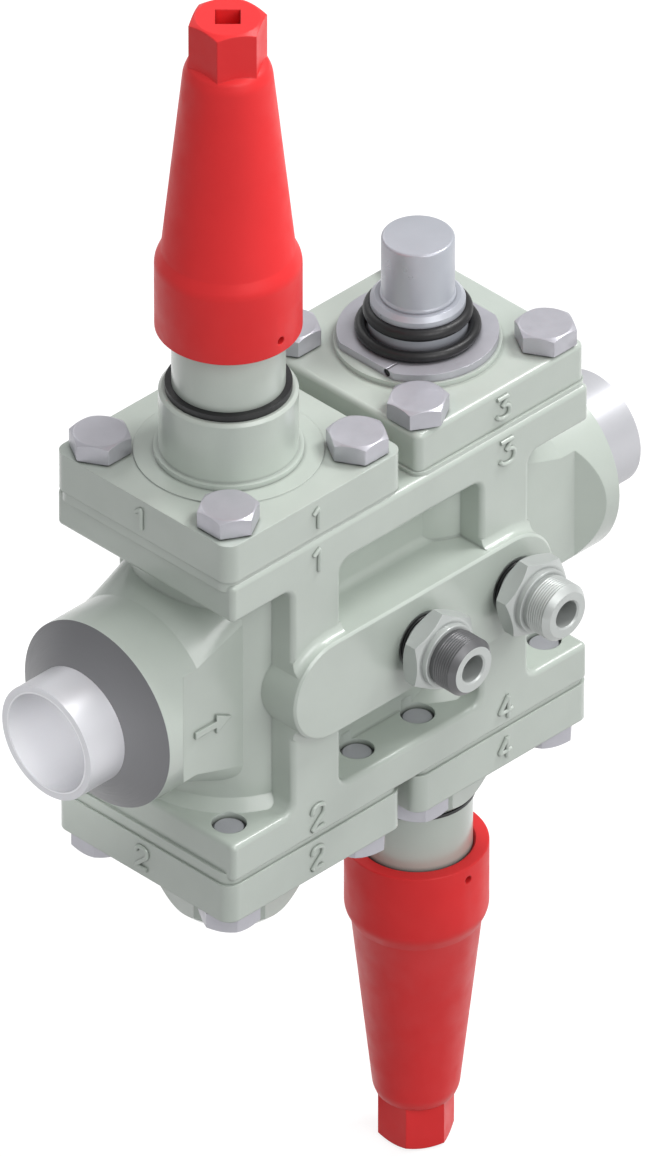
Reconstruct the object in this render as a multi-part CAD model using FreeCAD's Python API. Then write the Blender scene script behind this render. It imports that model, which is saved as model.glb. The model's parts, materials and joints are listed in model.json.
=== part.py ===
import FreeCAD, Part
import math
import os

# Valve station for refrigerant lines: one cast housing with two columns and four module ports.
# Inlet side: stop valve on top, strainer below. Outlet side: motor valve on top, stop valve below.
# Sizes are millimetres. Heights are measured from the pipe axis, and lengths along the pipe axis
# from the middle of the housing, until each piece is moved to the inlet end face at the very end.

# Housing, with its margins measured from the bolts of the square covers
JOINT_Z = 62.5
PAD_RISE = 1.5
PAD_MARGIN = 10.5
SLAB_END_MARGIN = 9.5
SLAB_SIDE_MARGIN = 11.5
SLAB_THICK = 15.0
SLAB_ROUND = 2.0
BARREL_R = 33.8
BARREL_FLARE = 3.8
WEB_HALF_Y = 25.0
PILASTER_HALF = 11.5
PILASTER_SUNK = 3.8
PILASTER_CORNER = 4.5
BOSS_R = 18.8
BOSS_PROUD = 4.4
BOSS_INSET = 3.8
BOSS_EDGE = 0.8
BOSS_ROOT = 3.0

# Necks and butt weld ends
NECK_HALF_Y = 27.0
NECK_HALF_Z = 40.0
NECK_CORNER = 10.0
NECK_BLEND = 24.0
NECK_PROUD = 2.0
STUB_R = 34.7
STUB_LENGTH = 20.5
FLAT_LENGTH = 6.5
CONE_LENGTH = 8.0
PIPE_R = 21.2
PIPE_WALL = 3.0
PIPE_LENGTH = 16.0

# Chambers and passages
WIDE_BORE_R = 25.0
NARROW_BORE_R = 22.0
SHOULDER_Z = 20.0
LEDGE_THICK = 4.0
THROAT_R = 16.0
PASSAGE_R = 10.0
PASSAGE_Z = 38.0
DRILLING_R = 4.0

# Square covers and their bolts
COVER_MARGIN = 11.25
COVER_GAP = 6.5
COVER_CORNER = 5.0
COVER_THICK = 15.0
COVER_BORE_R = 17.0
COVER_SPIGOT = 8.5
MOTOR_COVER_MARGIN = 9.5
MOTOR_COVER_CORNER = 3.0
MOTOR_COVER_ROUND = 2.0
GASKET_THICK = 1.5
GASKET_WIDTH = 3.5
GASKET_GAP = 0.5
BOLT_HALF_PITCH = 30.5
BOLT_R = 6.0
BOLT_LENGTH = 30.0
BOLT_HEAD_AF = 18.9
BOLT_HEAD_HEIGHT = 7.5
BOLT_FACE_SHARE = 0.475
BOLT_HOLE_R = 6.75

# Stop valves: bonnet, neck, spindle and cap
LAND_R = 32.2
LAND_RISE = 0.5
BONNET_FOOT_R = 25.4
BONNET_FOOT_HEIGHT = 2.0
BONNET_R = 23.65
BONNET_HEIGHT = 26.0
BONNET_CHAMFER = 1.0
HEX_AF = 42.0
HEX_HEIGHT = 28.8
HEX_TOP_R = 19.6
HEX_TAPER = 4.5
BONNET_BORE_R = 12.0
NECK_TUBE_R = 19.25
NECK_TUBE_TOP = 150.0
NECK_SPIGOT_R = 16.0
NECK_SPIGOT_LENGTH = 11.5
NECK_SEAL_R = 21.5
NECK_SEAL_HEIGHT = 2.5
HEX_SEAL_PROUD = 0.6
HEX_SEAL_HEIGHT = 1.2
PACKING_R = 11.0
PACKING_DEPTH = 20.0
PACKING_HEIGHT = 11.0
GLAND_AF = 20.0
GLAND_RISE = 6.0
SPINDLE_R = 7.0
SPINDLE_TOP = 196.0
SPINDLE_SQUARE = 9.5
SPINDLE_SQUARE_LENGTH = 16.0
SPINDLE_SQUARE_CORNER = 1.0
SPINDLE_COLLAR_R = 9.0
SPINDLE_COLLAR_HEIGHT = 4.0
SEAT_THICK = 6.0
SEAT_R = 15.5
CAGE_WALL = 4.6
WINDOW_WIDTH = 24.0
WINDOW_HEIGHT = 25.0
WINDOW_SILL = 1.0
CONE_THICK = 6.5
CONE_HUB_R = 13.0
CONE_HUB_HEIGHT = 10.0
CONE_FLOOR = 3.5
SEAL_WIDTH = 3.0
SEAL_THICK = 2.5
SEAL_STAND = 0.5
SEAL_INSET = 0.3
COLLAR_PLAY = 0.1
CAP_MOUTH_Z = 128.9
CAP_SKIRT_R = 24.9
CAP_SKIRT_HEIGHT = 30.4
CAP_SHOULDER_R = 22.85
CAP_SHOULDER_FALL = 4.5
CAP_CONE_TOP_R = 15.1
CAP_CONE_TOP_Z = 234.6
CAP_TOP_ROUND = 1.5
CAP_HEX_AF = 23.5
CAP_HEX_TOP_Z = 252.9
CAP_HEX_CHAMFER = 2.2
CAP_WALL = 4.5
CAP_STEP = 2.0
CAP_GASKET_THICK = 2.0
CAP_GASKET_WIDTH = 4.0
CAP_VENT_R = 1.5
CAP_VENT_RISE = 5.2
CAP_SOCKET = 8.5
CAP_SOCKET_DEPTH = 8.0

# Strainer
BASKET_R = 18.6
BASKET_WALL = 0.9
BASKET_RING_HEIGHT = 3.0
BASKET_LENGTH = 26.0
BASKET_SLOT_WIDTH = 5.0
BASKET_SLOT_HEIGHT = 4.0
BASKET_COLUMNS = 7
BASKET_ROWS = 3
HOLDER_WALL = 3.0

# Motor valve
MOTOR_BOSS_R = 28.6
MOTOR_BOSS_RISE = 2.1
LOCK_DISC_R = 27.5
LOCK_DISC_HALF_FLAT = 24.4
LOCK_DISC_THICK = 3.0
SET_SCREW_R = 1.5
SET_SCREW_LENGTH = 5.0
SET_SCREW_SUNK = 0.5
SET_SCREW_Y = -9.5
ADAPTOR_R = 17.0
ADAPTOR_TOP_Z = 97.3
ADAPTOR_TOP_CHAMFER = 1.5
ADAPTOR_STEP = 0.8
ADAPTOR_DEPTH = 13.6
ADAPTOR_BORE_R = 8.0
LARGE_ORING_R = 21.5
LARGE_ORING_THICK = 3.9
SMALL_ORING_R = 18.7
SMALL_ORING_THICK = 4.6
SMALL_ORING_Z = 91.3
CAN_R = 12.5
CAN_TOP_Z = 121.0
CAN_WALL = 1.0
CAN_ROUND = 1.0
MAGNET_CLEARANCE = 0.7
MAGNET_HEIGHT = 16.0
SCREW_R = 4.0
SCREW_BOTTOM_Z = 37.0
BUSH_LENGTH = 11.0
INSERT_BORE_R = 15.0
INSERT_SEAT_R = 12.0
INSERT_SEAT_THICK = 4.0
SEAT_RING_THICK = 2.0
INSERT_WINDOW_WIDTH = 13.0
INSERT_WINDOW_HEIGHT = 14.0
PLUG_HEIGHT = 20.0
PLUG_WALL = 2.5
PLUG_CROWN = 6.0

# Threaded side nipples
NIPPLE_R = 10.5
NIPPLE_BORE_R = 5.0
NIPPLE_HEX_AF = 27.0
NIPPLE_WASHER_R = 14.3
NIPPLE_WASHER_THICK = 1.5
NIPPLE_HEX_LENGTH = 8.6
NIPPLE_HEX_DROP = 0.7
SECOND_NIPPLE_TURN_DEGREES = 15
NIPPLE_COLLAR_R = 11.6
NIPPLE_COLLAR_LENGTH = 4.0
NIPPLE_BARREL_LENGTH = 11.0
NIPPLE_CHAMFER = 2.0
NIPPLE_STUB_LENGTH = 13.0

# Clearances
FIT = 0.05
LOOSE = 0.4

# How far a shape runs into the one it is fused to, and a cut past the face it opens
BURIED = 3.0
PAST = 1.0

# Sizes and places worked out from those above
COVER_SIDE = 2 * (BOLT_HALF_PITCH + COVER_MARGIN)
MOTOR_COVER_SIDE = 2 * (BOLT_HALF_PITCH + MOTOR_COVER_MARGIN)
PAD_SIDE = 2 * (BOLT_HALF_PITCH + PAD_MARGIN)
COLUMN_X = (COVER_SIDE + COVER_GAP) / 2
SLAB_HALF_X = COLUMN_X + BOLT_HALF_PITCH + SLAB_END_MARGIN
SLAB_HALF_Y = BOLT_HALF_PITCH + SLAB_SIDE_MARGIN
SLAB_TOP = JOINT_Z - PAD_RISE
SLAB_INNER = SLAB_TOP - SLAB_THICK
COVER_TOP = JOINT_Z + COVER_THICK
SPIGOT_END = JOINT_Z - COVER_SPIGOT
PIPE_BORE_R = PIPE_R - PIPE_WALL
PILASTER_DEPTH = SLAB_HALF_Y - BARREL_R + PILASTER_SUNK
BOSS_DEPTH = SLAB_HALF_Y + BOSS_PROUD
BOSS_LEFT_X = BOSS_INSET - COLUMN_X
STUB_START_X = SLAB_HALF_X + NECK_PROUD
FLAT_END_X = STUB_START_X + FLAT_LENGTH
STUB_END_X = STUB_START_X + STUB_LENGTH
END_X = STUB_END_X + CONE_LENGTH + PIPE_LENGTH
LEDGE_Z = SHOULDER_Z + LEDGE_THICK

V = FreeCAD.Vector


def corner_arc(before, corner, after, radius):
    """Start, middle and end of the arc that rounds one corner of an outline."""
    u = (before - corner).normalize()
    v = (after - corner).normalize()
    half = u.getAngle(v) / 2
    inward = (u + v).normalize()
    centre = corner + inward * (radius / math.sin(half))
    reach = radius / math.tan(half)
    return corner + u * reach, centre - inward * radius, corner + v * reach


def closed_wire(points, rounds=None):
    """A closed wire through the points, with arcs at the corners that rounds names."""
    rounds = rounds or {}
    count = len(points)
    legs = []
    for i, corner in enumerate(points):
        if rounds.get(i, 0) > 0:
            before, after = points[i - 1], points[(i + 1) % count]
            legs.append(corner_arc(V(before), V(corner), V(after), rounds[i]))
        else:
            legs.append((corner, None, corner))
    edges = []
    for i, (_, _, leave) in enumerate(legs):
        arrive, middle, end = legs[(i + 1) % count]
        if (arrive - leave).Length > 1e-6:
            edges.append(Part.makeLine(leave, arrive))
        if middle is not None:
            edges.append(Part.Arc(arrive, middle, end).toShape())
    return Part.Wire(edges)


def turned(outline, rounds=None):
    """A solid turned about the Z axis from (radius, height) points."""
    points = [V(radius, 0, height) for radius, height in outline]
    face = Part.Face(closed_wire(points, rounds))
    return face.revolve(V(0, 0, 0), V(0, 0, 1), 360)


def ring(outer, inner, low, high):
    """A plain ring with a square section."""
    return turned([(inner, low), (outer, low), (outer, high), (inner, high)])


def rod(radius, low, high):
    """A plain upright cylinder."""
    return Part.makeCylinder(radius, high - low, V(0, 0, low))


def prism(outline, low, high, rounds=None):
    """An upright prism from (x, y) points."""
    points = [V(x, y, low) for x, y in outline]
    return Part.Face(closed_wire(points, rounds)).extrude(V(0, 0, high - low))


def rounded_square(side, corner, low, high):
    """An upright square block with rounded corners."""
    half = side / 2
    outline = [(-half, -half), (half, -half), (half, half), (-half, half)]
    return prism(outline, low, high, dict.fromkeys(range(4), corner))


def hexagon(across_flats, low, high, vertex_angle=0.0):
    """An upright hexagonal prism with one vertex at the given angle from +X."""
    reach = across_flats / math.sqrt(3)
    angles = [math.radians(vertex_angle + 60 * k) for k in range(6)]
    return prism([(reach * math.cos(a), reach * math.sin(a)) for a in angles], low, high)


def along_x(shape):
    """Lay an upright shape down so that its top points along +X."""
    return shape.rotated(V(0, 0, 0), V(0, 1, 0), 90)


def along_minus_y(shape):
    """Lay an upright shape down so that its top points along -Y."""
    return shape.rotated(V(0, 0, 0), V(1, 0, 0), 90)


def flipped(shape):
    """Turn an upright shape upside down about the pipe axis."""
    return shape.rotated(V(0, 0, 0), V(1, 0, 0), 180)


def fused(shapes):
    """One solid from shapes that overlap."""
    return shapes[0].multiFuse(shapes[1:]).removeSplitter()


def slab():
    """The upper flange slab with all its edges rounded, and the machined pads on it."""
    size = V(2 * SLAB_HALF_X, 2 * SLAB_HALF_Y, SLAB_THICK)
    block = Part.makeBox(size.x, size.y, size.z, V(-SLAB_HALF_X, -SLAB_HALF_Y, SLAB_INNER))
    pieces = [block.makeFillet(SLAB_ROUND, block.Edges)]
    for side in (-1, 1):
        pad = rounded_square(PAD_SIDE, COVER_CORNER, SLAB_TOP - BURIED, JOINT_Z)
        pieces.append(pad.translated(V(side * COLUMN_X, 0, 0)))
    return fused(pieces)


def barrel():
    """One column of the housing, flared where it meets the slabs."""
    foot_r = BARREL_R + BARREL_FLARE
    deep = SLAB_INNER + BURIED
    low, high = 0.25 * BARREL_FLARE, 0.75 * BARREL_FLARE
    upper = [(BARREL_R, SLAB_INNER - BARREL_FLARE), (BARREL_R + low, SLAB_INNER - high),
             (BARREL_R + high, SLAB_INNER - low), (foot_r, SLAB_INNER), (foot_r, deep), (0, deep)]
    return turned([(radius, -z) for radius, z in reversed(upper)] + upper)


def pilaster():
    """The upright rib on the front of a column, widening into both slabs and rounded like them."""
    wide = PILASTER_HALF + PILASTER_CORNER + BURIED
    deep = SLAB_INNER + BURIED
    right = [(wide, -deep), (wide, -SLAB_INNER), (PILASTER_HALF, -SLAB_INNER),
             (PILASTER_HALF, SLAB_INNER), (wide, SLAB_INNER), (wide, deep)]
    outline = right + [(-x, z) for x, z in reversed(right)]
    rounds = dict.fromkeys((2, 3, 8, 9), PILASTER_CORNER)
    points = [V(x, -SLAB_HALF_Y, z) for x, z in outline]
    block = Part.Face(closed_wire(points, rounds)).extrude(V(0, PILASTER_DEPTH, 0))
    return block.makeFillet(SLAB_ROUND, [e for e in block.Edges if free_front_edge(e)])


def free_front_edge(edge):
    """Whether an edge of a pilaster's front lies between the two slabs."""
    box = edge.BoundBox
    in_front = abs(box.YMin + SLAB_HALF_Y) < 1e-3 and box.YLength < 1e-3
    return in_front and max(box.ZMax, -box.ZMin) < SLAB_INNER + 1e-3


def front_boss():
    """The long round-ended boss that carries the side nipples."""
    right = COLUMN_X
    length = right - BOSS_LEFT_X
    end = rod(BOSS_R, 0, BOSS_DEPTH)
    pieces = [
        Part.makeBox(length, 2 * BOSS_R, BOSS_DEPTH, V(BOSS_LEFT_X, -BOSS_R, 0)),
        end.translated(V(BOSS_LEFT_X, 0, 0)),
        end.rotated(V(0, 0, 0), V(0, 0, 1), 180).translated(V(right, 0, 0)),
    ]
    block = fused(pieces)
    rim = [e for e in block.Edges if e.BoundBox.ZMin > BOSS_DEPTH - 1e-3]
    return along_minus_y(block.makeChamfer(BOSS_EDGE, rim))


def boss_root(face_y, low_x, high_x):
    """The concave foot of the boss on a flat face, between two places along the pipe."""
    sunk = face_y - SLAB_ROUND
    foot_r = BOSS_R + BOSS_ROOT
    outline = [(BOSS_R - BURIED, sunk), (foot_r, sunk), (foot_r, face_y), (BOSS_R, face_y),
               (BOSS_R, face_y + BOSS_ROOT), (BOSS_R - BURIED, face_y + BOSS_ROOT)]
    end = turned(outline, {3: BOSS_ROOT})
    section = closed_wire([V(BOSS_LEFT_X, y, z) for y, z in outline], {3: BOSS_ROOT})
    bar = Part.Face(section).extrude(V(COLUMN_X - BOSS_LEFT_X, 0, 0))
    whole = fused([end.translated(V(BOSS_LEFT_X, 0, 0)), end.translated(V(COLUMN_X, 0, 0)),
                   bar, bar.mirror(V(0, 0, 0), V(0, 1, 0))])
    limit = Part.makeBox(high_x - low_x, 4 * BOSS_R, 2 * BOSS_DEPTH, V(low_x, -2 * BOSS_R, 0))
    return along_minus_y(whole.common(limit))


def casting():
    """Slabs, columns, web, pilasters and boss in one, with the boss on a concave foot."""
    top = slab()
    pieces = [top, flipped(top)]
    pieces.append(Part.makeBox(2 * COLUMN_X, 2 * WEB_HALF_Y, 2 * SLAB_INNER,
                               V(-COLUMN_X, -WEB_HALF_Y, -SLAB_INNER)))
    rib = pilaster()
    for side in (-1, 1):
        place = V(side * COLUMN_X, 0, 0)
        pieces.append(barrel().translated(place))
        pieces.append(rib.translated(place))
        pieces.append(rib.rotated(V(0, 0, 0), V(0, 0, 1), 180).translated(place))
        pieces.append(boss_root(SLAB_HALF_Y, place.x - PILASTER_HALF, place.x + PILASTER_HALF))
    pieces.append(boss_root(WEB_HALF_Y, -COLUMN_X, COLUMN_X))
    pieces.append(front_boss())
    return fused(pieces)


def rectangle_section(x):
    """The neck's section where it leaves the column: a rectangle with round corners."""
    y, z = NECK_HALF_Y, NECK_HALF_Z
    points = [V(x, y, -z), V(x, y, z), V(x, -y, z), V(x, -y, -z)]
    return closed_wire(points, dict.fromkeys(range(4), NECK_CORNER))


def circle_section(x):
    """The neck's section at the stub: a circle split where the rectangle's corners end."""
    side = math.acos(NECK_HALF_Y / STUB_R)
    top = math.acos((NECK_HALF_Y - NECK_CORNER) / STUB_R)
    ends = [side, top, math.pi - top, math.pi - side]
    ends = ends + [-a for a in reversed(ends)]
    edges = []
    for i, start in enumerate(ends):
        stop = ends[(i + 1) % len(ends)]
        if stop < start:
            stop += 2 * math.pi
        angles = (start, (start + stop) / 2, stop)
        spots = [V(x, STUB_R * math.cos(a), STUB_R * math.sin(a)) for a in angles]
        edges.append(Part.Arc(*spots).toShape())
    return Part.Wire(edges)


def neck():
    """The outlet neck: rectangular at the column, round at the stub, flat on both sides."""
    blend_start = STUB_START_X - NECK_BLEND
    root = Part.Face(rectangle_section(COLUMN_X)).extrude(V(blend_start - COLUMN_X, 0, 0))
    blend = Part.makeLoft([rectangle_section(blend_start), circle_section(STUB_START_X)], True, True)
    stub = along_x(rod(STUB_R, STUB_START_X, STUB_END_X))
    body = fused([root, blend, stub])
    far = 2 * STUB_R
    lean = far - NECK_HALF_Y
    wedge = [(COLUMN_X, NECK_HALF_Y), (FLAT_END_X, NECK_HALF_Y), (FLAT_END_X + lean, far), (COLUMN_X, far)]
    left = prism(wedge, -far, far)
    right = prism([(x, -y) for x, y in wedge], -far, far)
    return body.cut(left).cut(right)


def weld_end():
    """The cone and the pipe end that a pipe is welded to."""
    pipe_start = STUB_END_X + CONE_LENGTH
    outline = [(0, STUB_END_X - BURIED), (STUB_R, STUB_END_X - BURIED), (STUB_R, STUB_END_X),
               (PIPE_R, pipe_start), (PIPE_R, END_X), (0, END_X)]
    return along_x(turned(outline))


def chambers():
    """The stepped bores of both columns, which are each other's mirror image."""
    far = JOINT_Z + BURIED
    first = [rod(WIDE_BORE_R, -SHOULDER_Z, far),
             rod(THROAT_R, -LEDGE_Z - PAST, PAST - SHOULDER_Z),
             rod(NARROW_BORE_R, -far, -LEDGE_Z)]
    second = [flipped(piece) for piece in first]
    return ([piece.translated(V(-COLUMN_X, 0, 0)) for piece in first]
            + [piece.translated(V(COLUMN_X, 0, 0)) for piece in second])


def passages():
    """The pipe bores, the cross passage between the columns and the side drillings."""
    pipe = along_x(rod(PIPE_BORE_R, COLUMN_X, END_X + PAST))
    run = along_x(rod(PASSAGE_R, 0, COLUMN_X - NARROW_BORE_R + BURIED))
    rise = rod(PASSAGE_R, -PASSAGE_Z, PASSAGE_Z)
    elbow = Part.makeSphere(PASSAGE_R)
    drilling = along_minus_y(rod(DRILLING_R, 0, BOSS_DEPTH))
    tapping = along_minus_y(rod(NIPPLE_R, BOSS_DEPTH - NIPPLE_STUB_LENGTH - PAST, BOSS_DEPTH + PAST))
    return [
        pipe,
        pipe.rotated(V(0, 0, 0), V(0, 0, 1), 180),
        run.translated(V(0, 0, PASSAGE_Z)),
        run.rotated(V(0, 0, 0), V(0, 0, 1), 180).translated(V(0, 0, -PASSAGE_Z)),
        rise,
        elbow.translated(V(0, 0, PASSAGE_Z)),
        elbow.translated(V(0, 0, -PASSAGE_Z)),
        drilling,
        drilling.translated(V(COLUMN_X, 0, 0)),
        tapping,
        tapping.translated(V(COLUMN_X, 0, 0)),
    ]


def bolt_spots():
    """The four bolt places around a column."""
    half = BOLT_HALF_PITCH
    return [(-half, -half), (half, -half), (half, half), (-half, half)]


def housing():
    """The cast housing with its machined bores."""
    pieces = [casting()]
    outlet = neck()
    end = weld_end()
    for turn in (0, 180):
        pieces.append(outlet.rotated(V(0, 0, 0), V(0, 0, 1), turn))
        pieces.append(end.rotated(V(0, 0, 0), V(0, 0, 1), turn))
    body = fused(pieces)
    cuts = chambers() + passages()
    hole = rod(BOLT_R, SLAB_INNER - BARREL_FLARE, JOINT_Z + PAST)
    for side in (-1, 1):
        for x, y in bolt_spots():
            cuts += [piece.translated(V(side * COLUMN_X + x, y, 0)) for piece in (hole, flipped(hole))]
    return body.cut(Part.makeCompound(cuts))


def bolt(vertex_angle):
    """One hexagon head bolt under its head at the cover's top."""
    top = COVER_TOP + BOLT_HEAD_HEIGHT
    reach = BOLT_HEAD_AF / math.sqrt(3)
    face_r = BOLT_FACE_SHARE * BOLT_HEAD_AF
    drop = (reach - face_r) * math.tan(math.radians(30))
    head = hexagon(BOLT_HEAD_AF, COVER_TOP, top, vertex_angle)
    envelope = turned([(0, COVER_TOP), (reach, COVER_TOP), (reach, top - drop), (face_r, top), (0, top)])
    shank = rod(BOLT_R - FIT, COVER_TOP - BOLT_LENGTH, COVER_TOP + PAST)
    return fused([head.common(envelope), shank])


def bolts():
    """The four bolts of one cover, each with its head turned its own way."""
    angles = (90, 0, 18, 0)
    made = [bolt(angle).translated(V(x, y, 0)) for angle, (x, y) in zip(angles, bolt_spots())]
    return Part.makeCompound(made)


def cover_gasket(bore_r):
    """The flat gasket in the recess under a cover."""
    inner = bore_r + GASKET_GAP
    return ring(inner + GASKET_WIDTH - FIT, inner, JOINT_Z, JOINT_Z + GASKET_THICK)


def cover_cuts(bore_r):
    """The centre bore, the gasket recess and the bolt holes of a cover."""
    inner = bore_r + GASKET_GAP
    cuts = [rod(COVER_BORE_R + FIT, SPIGOT_END - PAST, COVER_TOP + BURIED + PAST),
            ring(inner + GASKET_WIDTH, inner - PAST, JOINT_Z - PAST, JOINT_Z + GASKET_THICK)]
    for x, y in bolt_spots():
        cuts.append(rod(BOLT_HOLE_R, JOINT_Z - PAST, COVER_TOP + PAST).translated(V(x, y, 0)))
    return cuts


def square_cover(bore_r, land):
    """A square cover with a spigot in the housing bore and a low round land on top."""
    plate = rounded_square(COVER_SIDE, COVER_CORNER, JOINT_Z, COVER_TOP)
    pieces = [plate]
    if land:
        pieces.append(rod(LAND_R, COVER_TOP - PAST, COVER_TOP + LAND_RISE))
    body = fused(pieces).cut(Part.makeCompound(cover_cuts(bore_r)))
    spigot = ring(bore_r - FIT, COVER_BORE_R + FIT, SPIGOT_END, JOINT_Z + GASKET_THICK + PAST)
    return fused([body, spigot])


def chamfered_hex(across_flats, low, high, vertex_angle, top_r, taper):
    """A hexagon whose top corners are turned down to a smaller circle."""
    reach = across_flats / math.sqrt(3)
    envelope = turned([(0, low), (reach, low), (reach, high - taper), (top_r, high), (0, high)])
    return hexagon(across_flats, low, high, vertex_angle).common(envelope)


def seat_top():
    """Height of the cover's top face under a bonnet, on the land."""
    return COVER_TOP + LAND_RISE


def round_bonnet():
    """The round bonnet, screwed into its cover."""
    low = seat_top()
    top = low + BONNET_HEIGHT - LAND_RISE
    outline = [(BONNET_BORE_R, SPIGOT_END), (COVER_BORE_R, SPIGOT_END), (COVER_BORE_R, low),
               (BONNET_FOOT_R, low), (BONNET_FOOT_R, low + BONNET_FOOT_HEIGHT),
               (BONNET_R, low + BONNET_FOOT_HEIGHT), (BONNET_R, top - BONNET_CHAMFER),
               (BONNET_R - BONNET_CHAMFER, top), (NECK_SPIGOT_R + FIT, top),
               (NECK_SPIGOT_R + FIT, top - NECK_SPIGOT_LENGTH), (BONNET_BORE_R, top - NECK_SPIGOT_LENGTH)]
    return turned(outline)


def hex_bonnet():
    """The hexagonal bonnet, screwed into its cover."""
    top = COVER_TOP + HEX_HEIGHT
    head = chamfered_hex(HEX_AF, COVER_TOP, top, 45, HEX_TOP_R, HEX_TAPER)
    stub = rod(COVER_BORE_R, SPIGOT_END, COVER_TOP + PAST)
    body = fused([head, stub])
    cuts = [rod(BONNET_BORE_R, SPIGOT_END - PAST, top + PAST),
            rod(NECK_SPIGOT_R + FIT, top - NECK_SPIGOT_LENGTH, top + PAST)]
    return body.cut(Part.makeCompound(cuts))


def bonnet_top(hexagonal):
    """Height at which the neck tube stands on its bonnet."""
    return COVER_TOP + (HEX_HEIGHT if hexagonal else BONNET_HEIGHT)


def neck_tube(hexagonal):
    """The neck tube: guides the spindle, holds its packing and carries the cap's thread."""
    low = bonnet_top(hexagonal)
    end = low - NECK_SPIGOT_LENGTH
    pocket = NECK_TUBE_TOP - PACKING_DEPTH
    inner = SPINDLE_R + FIT
    outline = [(inner, end), (NECK_SPIGOT_R, end), (NECK_SPIGOT_R, low), (NECK_TUBE_R, low),
               (NECK_TUBE_R, NECK_TUBE_TOP), (PACKING_R + FIT, NECK_TUBE_TOP),
               (PACKING_R + FIT, pocket), (inner, pocket)]
    return turned(outline)


def neck_seal(hexagonal):
    """The seal ring round the foot of the neck tube."""
    low = bonnet_top(hexagonal)
    outer = HEX_TOP_R + HEX_SEAL_PROUD if hexagonal else NECK_SEAL_R
    height = HEX_SEAL_HEIGHT if hexagonal else NECK_SEAL_HEIGHT
    return ring(outer, NECK_TUBE_R + FIT, low, low + height)


def spindle_packing():
    """The stack of packing rings, made as one solid."""
    low = NECK_TUBE_TOP - PACKING_DEPTH
    return ring(PACKING_R, SPINDLE_R + FIT, low, low + PACKING_HEIGHT)


def gland_nut():
    """The nut that presses the packing."""
    low = NECK_TUBE_TOP - PACKING_DEPTH + PACKING_HEIGHT
    barrel_part = rod(PACKING_R, low, NECK_TUBE_TOP)
    head = hexagon(GLAND_AF, NECK_TUBE_TOP, NECK_TUBE_TOP + GLAND_RISE)
    bore = rod(SPINDLE_R + FIT, low - PAST, NECK_TUBE_TOP + GLAND_RISE + PAST)
    return fused([barrel_part, head]).cut(bore)


def seat_z():
    """Height of the stop valve's seat face, just above the housing's inner shoulder."""
    return SEAT_THICK - SHOULDER_Z


def cone_pocket_z():
    """Height of the floor of the pocket that holds the spindle's collar."""
    return seat_z() + SEAL_STAND + CONE_FLOOR


def spindle():
    """The stop valve's spindle, with its collar in the cone and a square wrench end."""
    foot = cone_pocket_z() + COLLAR_PLAY
    collar_top = foot + SPINDLE_COLLAR_HEIGHT - 2 * COLLAR_PLAY
    square_start = SPINDLE_TOP - SPINDLE_SQUARE_LENGTH
    body = turned([(0, foot), (SPINDLE_COLLAR_R, foot), (SPINDLE_COLLAR_R, collar_top),
                   (SPINDLE_R, collar_top), (SPINDLE_R, square_start), (0, square_start)])
    end = rounded_square(SPINDLE_SQUARE, SPINDLE_SQUARE_CORNER, square_start - PAST, SPINDLE_TOP)
    return fused([body, end])


def cone_r():
    """Radius of the cone, loose inside its cage."""
    return WIDE_BORE_R - FIT - CAGE_WALL - LOOSE


def cone():
    """The valve cone: a disc with a groove for its seal and a hub round the spindle."""
    face = seat_z() + SEAL_STAND
    seal_in = SEAT_R + SEAL_INSET
    seal_out = seal_in + SEAL_WIDTH
    disc_top = face + CONE_THICK
    hub_top = disc_top + CONE_HUB_HEIGHT
    floor = cone_pocket_z()
    groove = seat_z() + SEAL_THICK
    pocket_r = SPINDLE_COLLAR_R + COLLAR_PLAY
    outline = [(0, face), (seal_in, face), (seal_in, groove),
               (seal_out, groove), (seal_out, face), (cone_r(), face),
               (cone_r(), disc_top), (CONE_HUB_R, disc_top), (CONE_HUB_R, hub_top),
               (pocket_r, hub_top), (pocket_r, floor), (0, floor)]
    return turned(outline)


def cone_seal():
    """The plastic ring that closes on the seat."""
    inner = SEAT_R + SEAL_INSET
    return ring(inner + SEAL_WIDTH - FIT, inner + FIT, seat_z(), seat_z() + SEAL_THICK)


def cone_retainer():
    """The bush that holds the spindle's collar in the cone."""
    low = cone_pocket_z() + SPINDLE_COLLAR_HEIGHT
    high = seat_z() + SEAL_STAND + CONE_THICK + CONE_HUB_HEIGHT
    return ring(SPINDLE_COLLAR_R + COLLAR_PLAY - FIT, SPINDLE_R + FIT, low, high)


def window_cuts(width, low, high, reach):
    """Four radial windows, at right angles to each other."""
    bar = Part.makeBox(2 * reach, width, high - low, V(-reach, -width / 2, low))
    return [bar, bar.rotated(V(0, 0, 0), V(0, 0, 1), 90)]


def cage():
    """The stop valve's cage: holds the seat, and its windows face the pipe bore."""
    outer = WIDE_BORE_R - FIT
    inner = outer - CAGE_WALL
    low = -SHOULDER_Z
    body = turned([(SEAT_R, low), (outer, low), (outer, SPIGOT_END), (inner, SPIGOT_END),
                   (inner, seat_z()), (SEAT_R, seat_z())])
    sill = seat_z() + WINDOW_SILL
    cuts = window_cuts(WINDOW_WIDTH, sill, sill + WINDOW_HEIGHT, 2 * outer)
    return body.cut(Part.makeCompound(cuts))


def eased(radius, height, inset, fall):
    """The two middle points of an outer corner that is eased off in three flats."""
    return [(radius - 0.2 * inset, height - 0.45 * fall), (radius - 0.55 * inset, height - 0.12 * fall)]


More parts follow.
